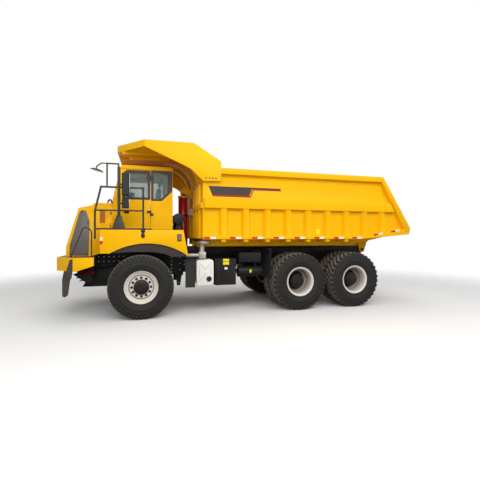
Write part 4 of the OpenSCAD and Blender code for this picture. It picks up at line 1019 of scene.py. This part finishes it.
def dressNose():
    look = noseLook
    side = look["side"]
    body, hood = bodyOf["nose_shell"], bodyOf["hood"]
    wires = []
    for i in range(look["meshWires"]):
        y = look["meshHalf"] * (2 * (i + 0.5) / look["meshWires"] - 1)
        spots = [(x, y, z) for x, z in (look["meshFoot"], look["meshBend"], look["meshTop"])]
        wires.append(pipe("wire", spots, look["meshWire"], 0.02, 1))
    finished(joined("grilleMesh", wires), blackPlastic, body)
    (x0, z0), (x1, z1) = look["latch"]
    latch = joined("latch", [block("latch", (x0, side, z0), (x1, side + 0.012, z1), 0.003),
                             block("latch", (x0 - 0.008, side, z0 + 0.026),
                                   (x1 + 0.008, side + 0.007, z1 - 0.026))])
    finished(bothSides("hoodLatches", latch), darkPaint, body)
    # the vent plate and its louvres are orange brown, painted shade standing for the shaded recess behind them
    (x0, z0), (x1, z1) = look["ventPlate"]
    pitch = (z1 - z0) / look["ventBars"]
    louvres = [block("plate", (x0, side, z0), (x1, side + 0.003, z1), 0.001)]
    ends, sunk, proud = look["ventBar"]
    for i in range(look["ventBars"]):
        louvres.append(block("bar", (x0 + ends, side + sunk, z0 + (i + 0.25) * pitch),
                             (x1 - ends, side + proud, z0 + (i + 0.7) * pitch), 0.002))
    finished(bothSides("ventShadePlates", joined("ventShadePlates", louvres)), ventShadePaint, body)
    finished(pipe("grabRail", look["grabRail"], look["grabRadius"], 0.09), darkPaint, body)
    plates = [cutPlate("plate", look["stepPlate"], *look["stepHeights"], "z", edge=0.003)]
    first, last, pitch = look["stepCleats"]
    y0, y1, wide, proud = look["cleat"]
    top = look["stepHeights"][1]
    for i in range(int((last - first) / pitch)):
        x = first + i * pitch
        plates.append(block("cleat", (x, y0, top - 0.001), (x + wide, y1, top + proud), 0))
    finished(bothSides("bumperSteps", joined("bumperSteps", plates)), darkPaint, bodyOf["front_bumper"])
    middle = cutPlate("plate", look["middlePlate"], *look["stepHeights"], "z", edge=0.003)
    finished(joined("bumperMiddle", [middle]), darkPaint, bodyOf["front_bumper"])
    bolts = studs("bolts", [(x, side + 0.008, z) for x, z in look["trimBolts"]], (0, 1, 0), 0.010, 0.006)
    finished(bothSides("trimBolts", bolts), blackPaint, body)
    cables = [pipe("cable", spots, radius, 0.05) for spots, radius in look["cables"]]
    finished(joined("cables", cables), blackPlastic, hood)


# Below the bumper: the ladder, a wedge plate on the corner, tow hooks with their eyes, and slats

underLook = {
    "strap": [(3.920, 1.045), (3.950, 0.845), (3.985, 0.560), (4.040, 0.508), (4.094, 0.530), (4.095, 0.830),
              (4.056, 1.045)],
    # each strap: across from and to, how far ahead
    "straps": [(1.285, 1.300, 0.0), (0.905, 0.920, 0.085)],
    "steps": [0.560, 0.705, 0.850], "stepReach": (4.000, 4.085), "stepThick": 0.028,
    "wedge": [(0.004, 1.294), (0.080, 1.294), (0.215, 1.030), (0.170, 0.930), (0.045, 0.900), (0.004, 1.040)],
    "wedgeThick": 0.014,
    "corner": (3.860, 1.500), "cornerTurn": -46.47,
    "hook": [(3.600, 0.950), (3.892, 0.956), (3.904, 0.899), (3.600, 0.899)], "hookThick": 0.04,
    "hookEye": (3.850, 0.870), "hookEyeRadii": (0.026, 0.056),
    "hookRiser": [(3.600, 0.945), (3.720, 0.945), (3.720, 1.050), (3.600, 1.050)],
    "slats": [
        # front edge, rear edge
        ((3.990, 0.925), (3.800, 0.885)), ((3.930, 0.850), (3.770, 0.838)), ((3.870, 0.780), (3.740, 0.790)),
    ],
    "slatHalf": 0.800, "slatThick": 0.014, "sideThick": 0.008,
    "slatSides": [(3.995, 0.935), (3.600, 0.935), (3.600, 0.740), (3.730, 0.740)],
}


def dressUnderNose():
    look = underLook
    pieces = []
    for y0, y1, ahead in look["straps"]:
        outline = softBends([(x + ahead, z) for x, z in look["strap"]], 0.008, 3, ring=True)
        pieces.append(cutPlate("strap", outline, y0, y1, edge=0.003))
    (outer, _, ahead0), (_, inner, ahead1) = look["straps"]
    near, far = look["stepReach"]
    tread = [(near + ahead0, outer), (far + ahead0, outer), (far + ahead1, inner), (near + ahead1, inner)]
    for z in look["steps"]:
        pieces.append(cutPlate("step", tread, z, z + look["stepThick"], "z", edge=0.003))
    finished(joined("bumperLadder", pieces), darkPaint, bodyOf["front_ladder"])
    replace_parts(bpy.data.objects["bumperLadder"], "front_ladder")
    x, y = look["corner"]
    wedge = cutPlate("wedge", look["wedge"], -0.001, look["wedgeThick"], edge=0.003)
    turn = Matrix.Rotation(math.radians(look["cornerTurn"]), 4, "Z")
    wedge.data.transform(Matrix.Translation((x, y, 0)) @ turn)
    finished(joined("ladderWedge", [wedge]), darkPaint, bodyOf["front_bumper"])
    _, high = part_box("tow_hooks")
    thick = look["hookThick"]
    inner = high.y - thick
    hook = cutPlate("hook", look["hook"], inner, high.y, edge=0.004)
    bore, rim = look["hookEyeRadii"]
    x, z = look["hookEye"]
    eye = turned("eye", bandProfile(bore, rim, 0.0, thick), (x, inner, z), "y", 48)
    riser = cutPlate("riser", look["hookRiser"], inner + 0.001, high.y - 0.001, edge=0.002)
    finished(bothSides("hookRisers", riser), blackPaint, bodyOf["tow_hooks"])
    finished(bothSides("towHooks", joined("towHooks", [hook, eye])), redPaint, bodyOf["tow_hooks"])
    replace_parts(bpy.data.objects["towHooks"], "tow_hooks")
    half, thick = look["slatHalf"], look["slatThick"]
    slats = []
    for (xa, za), (xb, zb) in look["slats"]:
        outline = [(xa, za), (xb, zb), (xb, zb - thick), (xa, za - thick)]
        slats.append(cutPlate("slat", outline, -half, half, edge=0.003))
    finished(joined("frontSlats", slats), greyPaint, bodyOf["belly_guard"])
    sides = cutPlate("side", look["slatSides"], half, half + look["sideThick"], edge=0.002)
    finished(bothSides("slatSides", sides), blackPaint, bodyOf["belly_guard"])


# Fenders: arch bolts and liners, markers, the brackets of the rails and treads on the deck

fenderLook = {
    "face": 1.550, "archMiddle": (2.420, 0.153), "archRadius": 1.460,
    "boltRing": 1.478, "boltTurns": range(66, 125, 6),
    "skirtFace": (1.516, 1.529), "skirtTurns": range(60, 127, 6),
    "skirtOver": 0.02, "skirtReach": (1.575, 3.15),
    "skirtLow": [
        (1.575, 1.322), (1.905, 1.322), (2.050, 1.385), (2.313, 1.431), (2.750, 1.436), (3.110, 1.412),
    ],
    "marker": ((3.296, 1.600), (3.346, 1.745)), "markerMiddle": 1.672,
    "bracket": [(2.465, 1.930), (2.546, 1.930), (2.546, 1.855), (2.522, 1.832), (2.546, 1.808), (2.546, 1.762),
                (2.506, 1.722), (2.470, 1.745), (2.470, 1.805), (2.492, 1.828), (2.465, 1.850)],
    "bracketBolts": [(2.505, 1.895), (2.508, 1.785)], "bracketThick": 0.012,
    "treadFrom": 2.36, "treadTo": 3.33, "treadPitch": 0.055, "treadWide": 0.02,
    "treadAcross": (1.03, 1.49), "treadHeights": (1.9, 1.903),
}


def archSpot(radius, turn):
    x, z = fenderLook["archMiddle"]
    return (x + radius * math.cos(math.radians(turn)), z + radius * math.sin(math.radians(turn)))


def dressFenders():
    look = fenderLook
    face = look["face"]
    body = bodyOf["fender_left"]
    spots = [archSpot(look["boltRing"], turn) for turn in look["boltTurns"]]
    bolts = studs("bolts", [(x, face, z) for x, z in spots], (0, 1, 0), 0.009, 0.006)
    finished(bothSides("archBolts", bolts), yellow, body)
    edge = [archSpot(look["archRadius"] + look["skirtOver"], turn) for turn in look["skirtTurns"]]
    rear, front = look["skirtReach"]
    outline = look["skirtLow"] + [spot for spot in edge if rear < spot[0] < front]
    skirt = cutPlate("skirt", outline, *look["skirtFace"], edge=0.003)
    finished(bothSides("archSkirts", skirt), archRubber, bodyOf["mudguards"])
    (x0, z0), (x1, z1) = look["marker"]
    mid = look["markerMiddle"]
    for name, low, high, material in (("whiteMarkers", mid, z1, tapeWhite), ("redMarkers", z0, mid, tapeRed)):
        plate = block("marker", (x0, face, low), (x1, face + 0.002, high), 0.0004, 1)
        finished(bothSides(name, plate), material, body)
    rails = bodyOf["deck_rails"]
    proud = face + look["bracketThick"]
    bracket = cutPlate("bracket", look["bracket"], face, proud, edge=0.002)
    finished(bothSides("railBrackets", bracket), blackPaint, rails)
    bolts = studs("bolts", [(x, proud, z) for x, z in look["bracketBolts"]], (0, 1, 0), 0.012, 0.008)
    finished(bothSides("bracketBolts", bolts), steelDark, rails)
    count = int((look["treadTo"] - look["treadFrom"]) / look["treadPitch"])
    (y0, y1), (z0, z1), wide = look["treadAcross"], look["treadHeights"], look["treadWide"]
    places = [look["treadFrom"] + i * look["treadPitch"] for i in range(count)]
    bars = [block("bar", (x, y0, z0), (x + wide, y1, z1), 0) for x in places]
    finished(bothSides("deckTread", joined("deckTread", bars)), darkPaint, rails)


# Lamps: round ones on the bumper, grey ones on the fenders, red ones at the back, an amber one on the cab

lampLook = {
    "head": (4.215, 0.800, 1.190),
    "housing": [(0.0, -0.020), (0.094, -0.020), (0.094, -0.0004), (0.0, -0.0004)],
    "bezel": [
        (0.062, 0.000), (0.0785, 0.000), (0.0785, 0.016), (0.072, 0.0205), (0.064, 0.0195), (0.062, 0.012),
    ],
    "lens": [
        (0.0, 0.0185), (0.020, 0.0180), (0.040, 0.0165), (0.055, 0.0138), (0.0625, 0.0100), (0.0625, 0.001),
    ],
    "side": ((1.704, 1.549, 1.664), (1.794, 1.580, 1.812)),
    "sideLens": ((1.714, 1.572, 1.676), (1.784, 1.584, 1.800)),
    "amber": ((3.012, 1.000, 3.095), (3.052, 1.030, 3.165)),
    "tail": ((-3.603, 0.492, 0.972), (-3.560, 0.708, 1.038)),
    "tailLens": ((-3.6045, 0.500, 0.980), (-3.596, 0.700, 1.030)),
}


def dressLamps():
    look = lampLook
    body = bodyOf["lamps"]
    head = look["head"]
    shells = [turned("housing", look["housing"], head, "x", 48, closed=False),
              turned("bezel", look["bezel"], head, "x", 48),
              block("side", *look["side"], 0.012, 3), block("tail", *look["tail"], 0.006)]
    shell = finished(bothSides("lampShells", joined("lampShells", shells)), blackPlastic, body)
    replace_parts(shell, "lamps")
    lens = turned("lens", look["lens"], head, "x", 48, closed=False, angle=50)
    finished(bothSides("headLenses", lens), lampClear, body)
    finished(bothSides("sideLenses", block("lens", *look["sideLens"], 0.003)), greyPlastic, body)
    finished(bothSides("tailLenses", block("lens", *look["tailLens"], 0.003)), lampRed, body)
    amber = block("amber", *look["amber"], 0.010, 3)
    finished(joined("amberLamp", [amber]), lampAmber, bodyOf["cab_shell"])


# Mirrors: two upright heads on each side and a dish on the front arm

mirrorLook = {
    "heads": [
        # low and high corner
        ((2.770, 1.550, 2.600), (2.925, 1.620, 3.080)), ((2.780, 1.550, 2.340), (2.925, 1.620, 2.545)),
    ],
    "headRound": 0.030, "armRadius": 0.012,
    "arm": [(3.300, 1.520, 3.262), (3.316, 1.520, 3.262), (3.420, 1.520, 3.190), (3.415, 1.520, 3.120)],
    "shell": [(0.0, 0.040), (0.050, 0.038), (0.096, 0.028), (0.120, 0.014), (0.128, 0.002), (0.124, -0.001),
              (0.0, -0.001)],
    "glasses": [
        # back face, from and to across, height from and to
        (2.770, 1.562, 1.608, 2.620, 3.060), (2.780, 1.562, 1.608, 2.360, 2.525),
    ],
    "dish": (3.410, 1.520, 3.100), "dishTilt": -14,
    "dishGlass": [(0.0, -0.016), (0.040, -0.0145), (0.080, -0.010), (0.105, -0.005), (0.120, 0.001)],
}


def dressMirrors():
    look = mirrorLook
    turn = Matrix.Rotation(math.radians(look["dishTilt"]), 4, "Y")
    heads = [block("head", *corners, look["headRound"], 4) for corners in look["heads"]]
    shell = turned("shell", look["shell"], (0, 0, 0), "z", 48, closed=False)
    shell.data.transform(Matrix.Translation(look["dish"]) @ turn)
    pieces = [bothSides("heads", joined("heads", heads)),
              pipe("arm", look["arm"], look["armRadius"], 0.03), shell]
    finished(joined("mirrorHeads", pieces), blackPlastic, bodyOf["mirrors"])
    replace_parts(bpy.data.objects["mirrorHeads"], "mirrors")
    glasses = []
    for x, y0, y1, z0, z1 in look["glasses"]:
        outline = softBends([(y0, z0), (y1, z0), (y1, z1), (y0, z1)], 0.016, 4, ring=True)
        glasses.append(cutPlate("glass", outline, x - 0.002, x + 0.001, "x", edge=0.0006, segments=1))
    pair = bothSides("glass", joined("glass", glasses))
    dish = turned("dish", look["dishGlass"], (0, 0, 0), "z", 48, closed=False)
    dish.data.transform(Matrix.Translation(look["dish"]) @ turn)
    finished(joined("mirrorGlasses", [pair, dish]), mirrorGlass, bodyOf["mirrors"])


print("nose, fenders, lamps and mirrors")
dressNose()
dressUnderNose()
dressFenders()
dressLamps()
dressMirrors()

# Tanks and exhaust: ridges and cap on the white tank, straps, labels, bands, clamps

tankLook = {
    "whiteFace": 1.400, "ridge": 0.007,
    "ridges": [[(1.290, 1.170), (1.155, 1.010), (1.020, 1.170)],
               [(1.290, 0.760), (1.155, 0.930), (1.130, 0.900)],
               [(1.285, 1.110), (1.285, 0.830)], [(1.025, 1.110), (1.025, 0.900)]],
    "cap": (1.071, 0.802), "capProfile": [(0.0, 0.042), (0.044, 0.042), (0.050, 0.036), (0.050, 0.008),
                                          (0.060, 0.006), (0.060, -0.004)],
    "straps": [0.500, 0.830], "strapWide": 0.045, "strapProud": 0.004, "lidProud": 0.003,
    "tank": ((0.440, 0.980, 0.650), (0.930, 1.400, 1.250)),
    "yellowLabel": ((0.607, 1.115), (0.747, 1.265)), "whiteLabel": ((0.643, 1.007), (0.713, 1.057)),
    "stepBox": ((-0.170, 1.000, 1.166), (0.365, 1.400, 1.383)), "stepBars": 11, "perforations": (7, 2),
    "airTank": (1.200, 0.932, 0.130), "airBands": [-0.130, 0.070, 0.240],
    "valve": ((0.044, 1.328, 0.911), (0.094, 1.352, 0.981)),
}


def dressTanks():
    look = tankLook
    face = look["whiteFace"]
    body = bodyOf["side_tanks"]
    ridges = [pipe("ridge", [(x, face, z) for x, z in line], look["ridge"], 0.04) for line in look["ridges"]]
    finished(joined("tankRidges", ridges), ridgePlastic, body)
    x, z = look["cap"]
    finished(turned("tankCap", look["capProfile"], (x, face, z), "y", 36, closed=False), blackPlastic, body)
    (x0, y0, z0), (x1, y1, z1) = look["tank"]
    straps = []
    for x in look["straps"]:
        straps.append(ringPlate("strap", grownBox(y0, z0, y1, z1, look["strapProud"]), 0.006,
                                x, x + look["strapWide"], "x", 0.001, 0.016))
        straps.append(block("lug", (x + 0.01, y1 + 0.002, z1 - 0.05),
                            (x + 0.035, y1 + 0.022, z1 - 0.01), 0.003))
    lid = ringPlate("lid", grownBox(x0, y0, x1, y1, look["lidProud"]), 0.01,
                    z1 - 0.07, z1 - 0.055, "z", 0.002, 0.014)
    finished(bothSides("tankStraps", joined("tankStraps", straps + [lid])), blackPlastic, body)
    for name, material in (("yellowLabel", labelYellow), ("whiteLabel", whitePlastic)):
        (a, c), (b, d) = look[name]
        plate = block(name, (a, y1, c), (b, y1 + 0.003, min(d, z1 - 0.002)), 0.0008, 1)
        finished(joined(name, [plate]), material, body)
    (x0, y0, z0), (x1, y1, z1) = look["stepBox"]
    pitch = (x1 - x0) / look["stepBars"]
    bars = [block("bar", (x0 + (i + 0.3) * pitch, y0 + 0.02, z1 - 0.001),
                  (x0 + (i + 0.7) * pitch, y1 - 0.02, z1 + 0.005), 0) for i in range(look["stepBars"])]
    across, up = look["perforations"]
    for i in range(across):
        for j in range(up):
            spot = (x0 + (i + 0.5) * (x1 - x0) / across, y1, z0 + (j + 0.5) * (z1 - z0) / up)
            bars.append(turned("hole", bandProfile(0.014, 0.020, 0.0, 0.004), spot, "y", 16))
    y, z, radius = look["airTank"]
    for x in look["airBands"]:
        band = bandProfile(radius - 0.001, radius + 0.004, 0.0, 0.03)
        bars.append(turned("band", band, (x, y, z), "x", 48))
    finished(bothSides("stepGrips", joined("stepGrips", bars)), blackPaint, body)
    finished(joined("airValve", [block("valve", *look["valve"], 0.006)]), labelYellow, body)


exhaustLook = {
    "line": (1.360, 1.340), "clampRadius": 0.047, "clampWide": 0.026, "clamps": [1.345, 1.470],
    "flange": (1.228, 1.360, 1.405), "flangeRadii": (0.058, 0.070), "flangeThick": 0.018,
    "capEdge": (1.172, 1.360, 1.597), "capRadius": 0.150,
}


def dressExhaust():
    look = exhaustLook
    y, z = look["line"]
    body = bodyOf["exhaust"]
    radius = look["clampRadius"]
    band = bandProfile(radius - 0.003, radius, 0.0, look["clampWide"])
    pieces = [turned("clamp", band, (x, y, z), "x", 36) for x in look["clamps"]]
    pieces += [block("bolt", (x + 0.006, y + radius, z - 0.008),
                     (x + 0.020, y + radius + 0.016, z + 0.008), 0.002) for x in look["clamps"]]
    flange = bandProfile(*look["flangeRadii"], 0.0, look["flangeThick"])
    pieces.append(turned("flange", flange, look["flange"], "z", 48))
    radius = look["capRadius"]
    pieces.append(turned("rim", [(radius - 0.02, 0.060), (radius - 0.006, 0.060), (radius - 0.004, 0.064),
                                 (radius - 0.02, 0.066)], look["capEdge"], "z", 64))
    finished(joined("exhaustClamps", pieces), steel, body)


# Chassis: bolt rows on the rails, hoses, brake chambers, dampers, spring bolts and flap bolts

chassisLook = {
    "railFace": 0.500, "boltRows": [1.105, 1.445], "boltFirst": -3.35, "boltPitch": 0.15, "boltCount": 46,
    "boltSize": (0.011, 0.008), "flapBoltSize": (0.012, 0.008),
    "hoses": [
        # height, distance from the centre plane, radius, first and last place, sag
        (1.330, 0.520, 0.012, -3.000, 2.100, 0.020),
        (1.290, 0.523, 0.014, -2.900, 2.000, 0.028),
        (1.210, 0.518, 0.010, -3.100, 2.200, 0.018),
    ],
    "hoseSteps": 14,
    "chambers": [
        # axle, place along the truck, distance from the centre plane, height
        ("drive_axles", -0.860, 0.690, 0.860), ("drive_axles", -2.360, 0.690, 0.860),
        ("front_axle", 2.360, 0.700, 0.860),
    ],
    "chamberProfile": [(0.0, 0.0), (0.070, 0.0), (0.082, 0.015), (0.082, 0.060), (0.094, 0.064),
                       (0.094, 0.078), (0.082, 0.082), (0.082, 0.120), (0.060, 0.145), (0.0, 0.150)],
    "damper": [(2.770, 0.560, 1.240), (2.690, 0.560, 0.760)], "damperRadius": 0.036,
    "hanger": [(1.480, 1.300), (1.480, 0.980), (1.590, 0.830), (1.630, 0.560), (1.715, 0.560), (1.730, 0.820),
               (1.890, 0.840), (1.900, 1.300)],
    "hangerFace": (0.500, 0.522),
    "hangerBolts": [(1.530, 1.250), (1.530, 1.160), (1.530, 1.070), (1.640, 1.250), (1.640, 1.100),
                    (1.640, 0.950), (1.840, 1.250), (1.840, 1.160), (1.840, 1.070), (1.840, 0.980),
                    (1.840, 0.890), (1.670, 0.620)],
    "noseBolts": [(2.950 + 0.11 * i, z) for i in range(8) for z in (1.180, 1.290)],
    "springBolts": [2.490, 2.590], "springAcross": (0.385, 0.495), "springFoot": 0.735, "springTop": 0.985,
    "flapBolts": (-0.380, 1.455), "flapAcross": [0.84, 1.02, 1.20, 1.38, 1.48],
}


def dressChassis():
    look = chassisLook
    body = bodyOf["chassis_frame"]
    places = [(look["boltFirst"] + i * look["boltPitch"], look["railFace"], z)
              for z in look["boltRows"] for i in range(look["boltCount"])]
    bolts = studs("bolts", places, (0, 1, 0), *look["boltSize"])
    finished(bothSides("railBolts", bolts), steelDark, body)
    hanger = cutPlate("hanger", look["hanger"], *look["hangerFace"], edge=0.004)
    finished(bothSides("hangerPlates", hanger), blackPaint, body)
    places = [(x, look["hangerFace"][1], z) for x, z in look["hangerBolts"]]
    places += [(x, look["railFace"], z) for x, z in look["noseBolts"]]
    bolts = studs("bolts", places, (0, 1, 0), *look["boltSize"])
    finished(bothSides("hangerBolts", bolts), steel, body)
    hoses = []
    for z, y, radius, first, last, sag in look["hoses"]:
        steps = look["hoseSteps"]
        spots = [(first + (last - first) * i / steps, y, z - (sag if i % 2 else 0.0))
                 for i in range(steps + 1)]
        hoses.append(pipe("hose", spots, radius, 0.12))
    finished(bothSides("railHoses", joined("railHoses", hoses)), blackPlastic, body)
    for axle in ("drive_axles", "front_axle"):
        pots = [turned("pot", look["chamberProfile"], (x, y, z), "x", 32, closed=False)
                for node, x, y, z in look["chambers"] if node == axle]
        finished(bothSides("brakeChambers_" + axle, joined("pots", pots)), blackPaint, bodyOf[axle])
    start, end = (Vector(spot) for spot in look["damper"])
    middle = start.lerp(end, 0.5)
    damper = joined("damper", [cylinder("tube", start, middle, look["damperRadius"]),
                               cylinder("rod", middle, end, look["damperRadius"] * 0.6)])
    finished(bothSides("dampers", damper), blackPaint, body)
    y0, y1 = look["springAcross"]
    low, top = look["springFoot"], look["springTop"]
    clips = [pipe("clip", [(x, y0, low), (x, y0, top), (x, y1, top), (x, y1, low)], 0.010, 0.03)
             for x in look["springBolts"]]
    finished(bothSides("springClips", joined("springClips", clips)), steelDark, bodyOf["leaf_springs"])
    x, z = look["flapBolts"]
    bolts = studs("bolts", [(x, y, z) for y in look["flapAcross"]], (-1, 0, 0), *look["flapBoltSize"])
    finished(bothSides("flapBolts", bolts), steel, bodyOf["mudguards"])


# Air cleaner: bands, end cover and duct

airLook = {
    "middle": (1.700, 2.180), "radius": 0.130, "bands": [0.380, 0.740],
    "cover": [(0.0, 0.020), (0.060, 0.022), (0.090, 0.014), (0.118, 0.012), (0.122, 0.000)],
    "coverPlace": 0.880, "ductRadius": 0.052,
    "duct": [(1.700, 0.270, 2.180), (1.720, 0.200, 2.130), (1.760, 0.190, 1.900), (1.900, 0.190, 1.780)],
}


def dressAirCleaner():
    look = airLook
    x, z = look["middle"]
    r = look["radius"]
    band = bandProfile(r - 0.001, r + 0.005, 0.0, 0.03)
    pieces = [turned("band", band, (x, y, z), "y", 48) for y in look["bands"]]
    pieces.append(turned("cover", look["cover"], (x, look["coverPlace"], z), "y", 48, closed=False))
    pieces.append(pipe("duct", look["duct"], look["ductRadius"], 0.10))
    finished(joined("airCleanerFittings", pieces), blackPlastic, bodyOf["air_cleaner"])


# Seat: cushions swollen by a short cloth simulation, on a plain base

seatLook = {
    "base": [((2.200, 0.330, 1.962), (2.500, 0.630, 2.040)), ((2.230, 0.360, 2.040), (2.470, 0.600, 2.240)),
             ((2.160, 0.270, 2.240), (2.580, 0.690, 2.290))],
    "bellows": 5, "foldOut": 0.012,
    "cushion": ((2.150, 0.255, 2.312), (2.600, 0.705, 2.410)),
    "backPad": ((2.150, 0.262, 2.450), (2.232, 0.698, 2.930)),
    "headPad": ((2.150, 0.340, 2.965), (2.222, 0.620, 3.125)), "foot": (2.190, 2.430), "lean": -6.3,
    "round": 0.032, "voxel": 0.008, "pressure": 4.0, "frames": 20, "cap": 0.022,
    "channels": [0.390, 0.570], "channelDeep": 0.007, "channelWide": 0.010,
}


def swollen(piece):
    look = seatLook
    applied(piece, "REMESH", mode="VOXEL", voxel_size=look["voxel"])
    start = [v.co.copy() for v in piece.data.vertices]
    activate(piece)
    cloth = piece.modifiers.new("Cloth", "CLOTH")
    cloth.settings.use_pressure = True
    cloth.settings.uniform_pressure_force = look["pressure"]
    cloth.settings.effector_weights.gravity = 0
    cloth.point_cache.frame_end = look["frames"]
    for frameNumber in range(1, look["frames"] + 1):
        bpy.context.scene.frame_set(frameNumber)
    bpy.ops.object.modifier_apply(modifier="Cloth")
    bpy.context.scene.frame_set(1)
    for vertex, before in zip(piece.data.vertices, start):
        move = vertex.co - before
        if move.length > look["cap"]:
            vertex.co = before + move.normalized() * look["cap"]
    return piece


def channelled(piece, along):
    # sewn channels run down the middle face of a pad
    look = seatLook
    for vertex in piece.data.vertices:
        for y in look["channels"]:
            share = math.exp(-((vertex.co.y - y) / look["channelWide"]) ** 2)
            if vertex.normal[along] > 0.4:
                vertex.co[along] -= look["channelDeep"] * share
    applied(piece, "SUBSURF", levels=1)
    return smoothed(piece, 60)


def dressSeat():
    look = seatLook
    body = bodyOf["cab_seat"]
    base = [block("base", low, high, 0.012, 3) for low, high in look["base"]]
    (x0, y0, z0), (x1, y1, z1) = look["base"][1]
    out = look["foldOut"]
    for i in range(look["bellows"]):
        z = z0 + (i + 0.5) * (z1 - z0) / look["bellows"]
        base.append(block("fold", (x0 - out, y0 - out, z - out), (x1 + out, y1 + out, z + out), 0.010, 3))
    shell = finished(joined("seatBase", base), blackPlastic, body)
    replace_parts(shell, "cab_seat")
    x, z = look["foot"]
    turn = Matrix.Rotation(math.radians(look["lean"]), 4, "Y")
    lean = Matrix.Translation((x, 0, z)) @ turn @ Matrix.Translation((-x, 0, -z))
    for name, along in (("cushion", 2), ("backPad", 0), ("headPad", 0)):
        pad = swollen(block(name, *look[name], look["round"], 4))
        pad = channelled(pad, along)
        if along == 0:
            pad.data.transform(lean)
        finished(pad, seatCloth, body)
        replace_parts(pad, "cab_seat")


print("tanks, exhaust and chassis")
dressTanks()
dressExhaust()
dressChassis()
dressAirCleaner()
print("seat")
dressSeat()
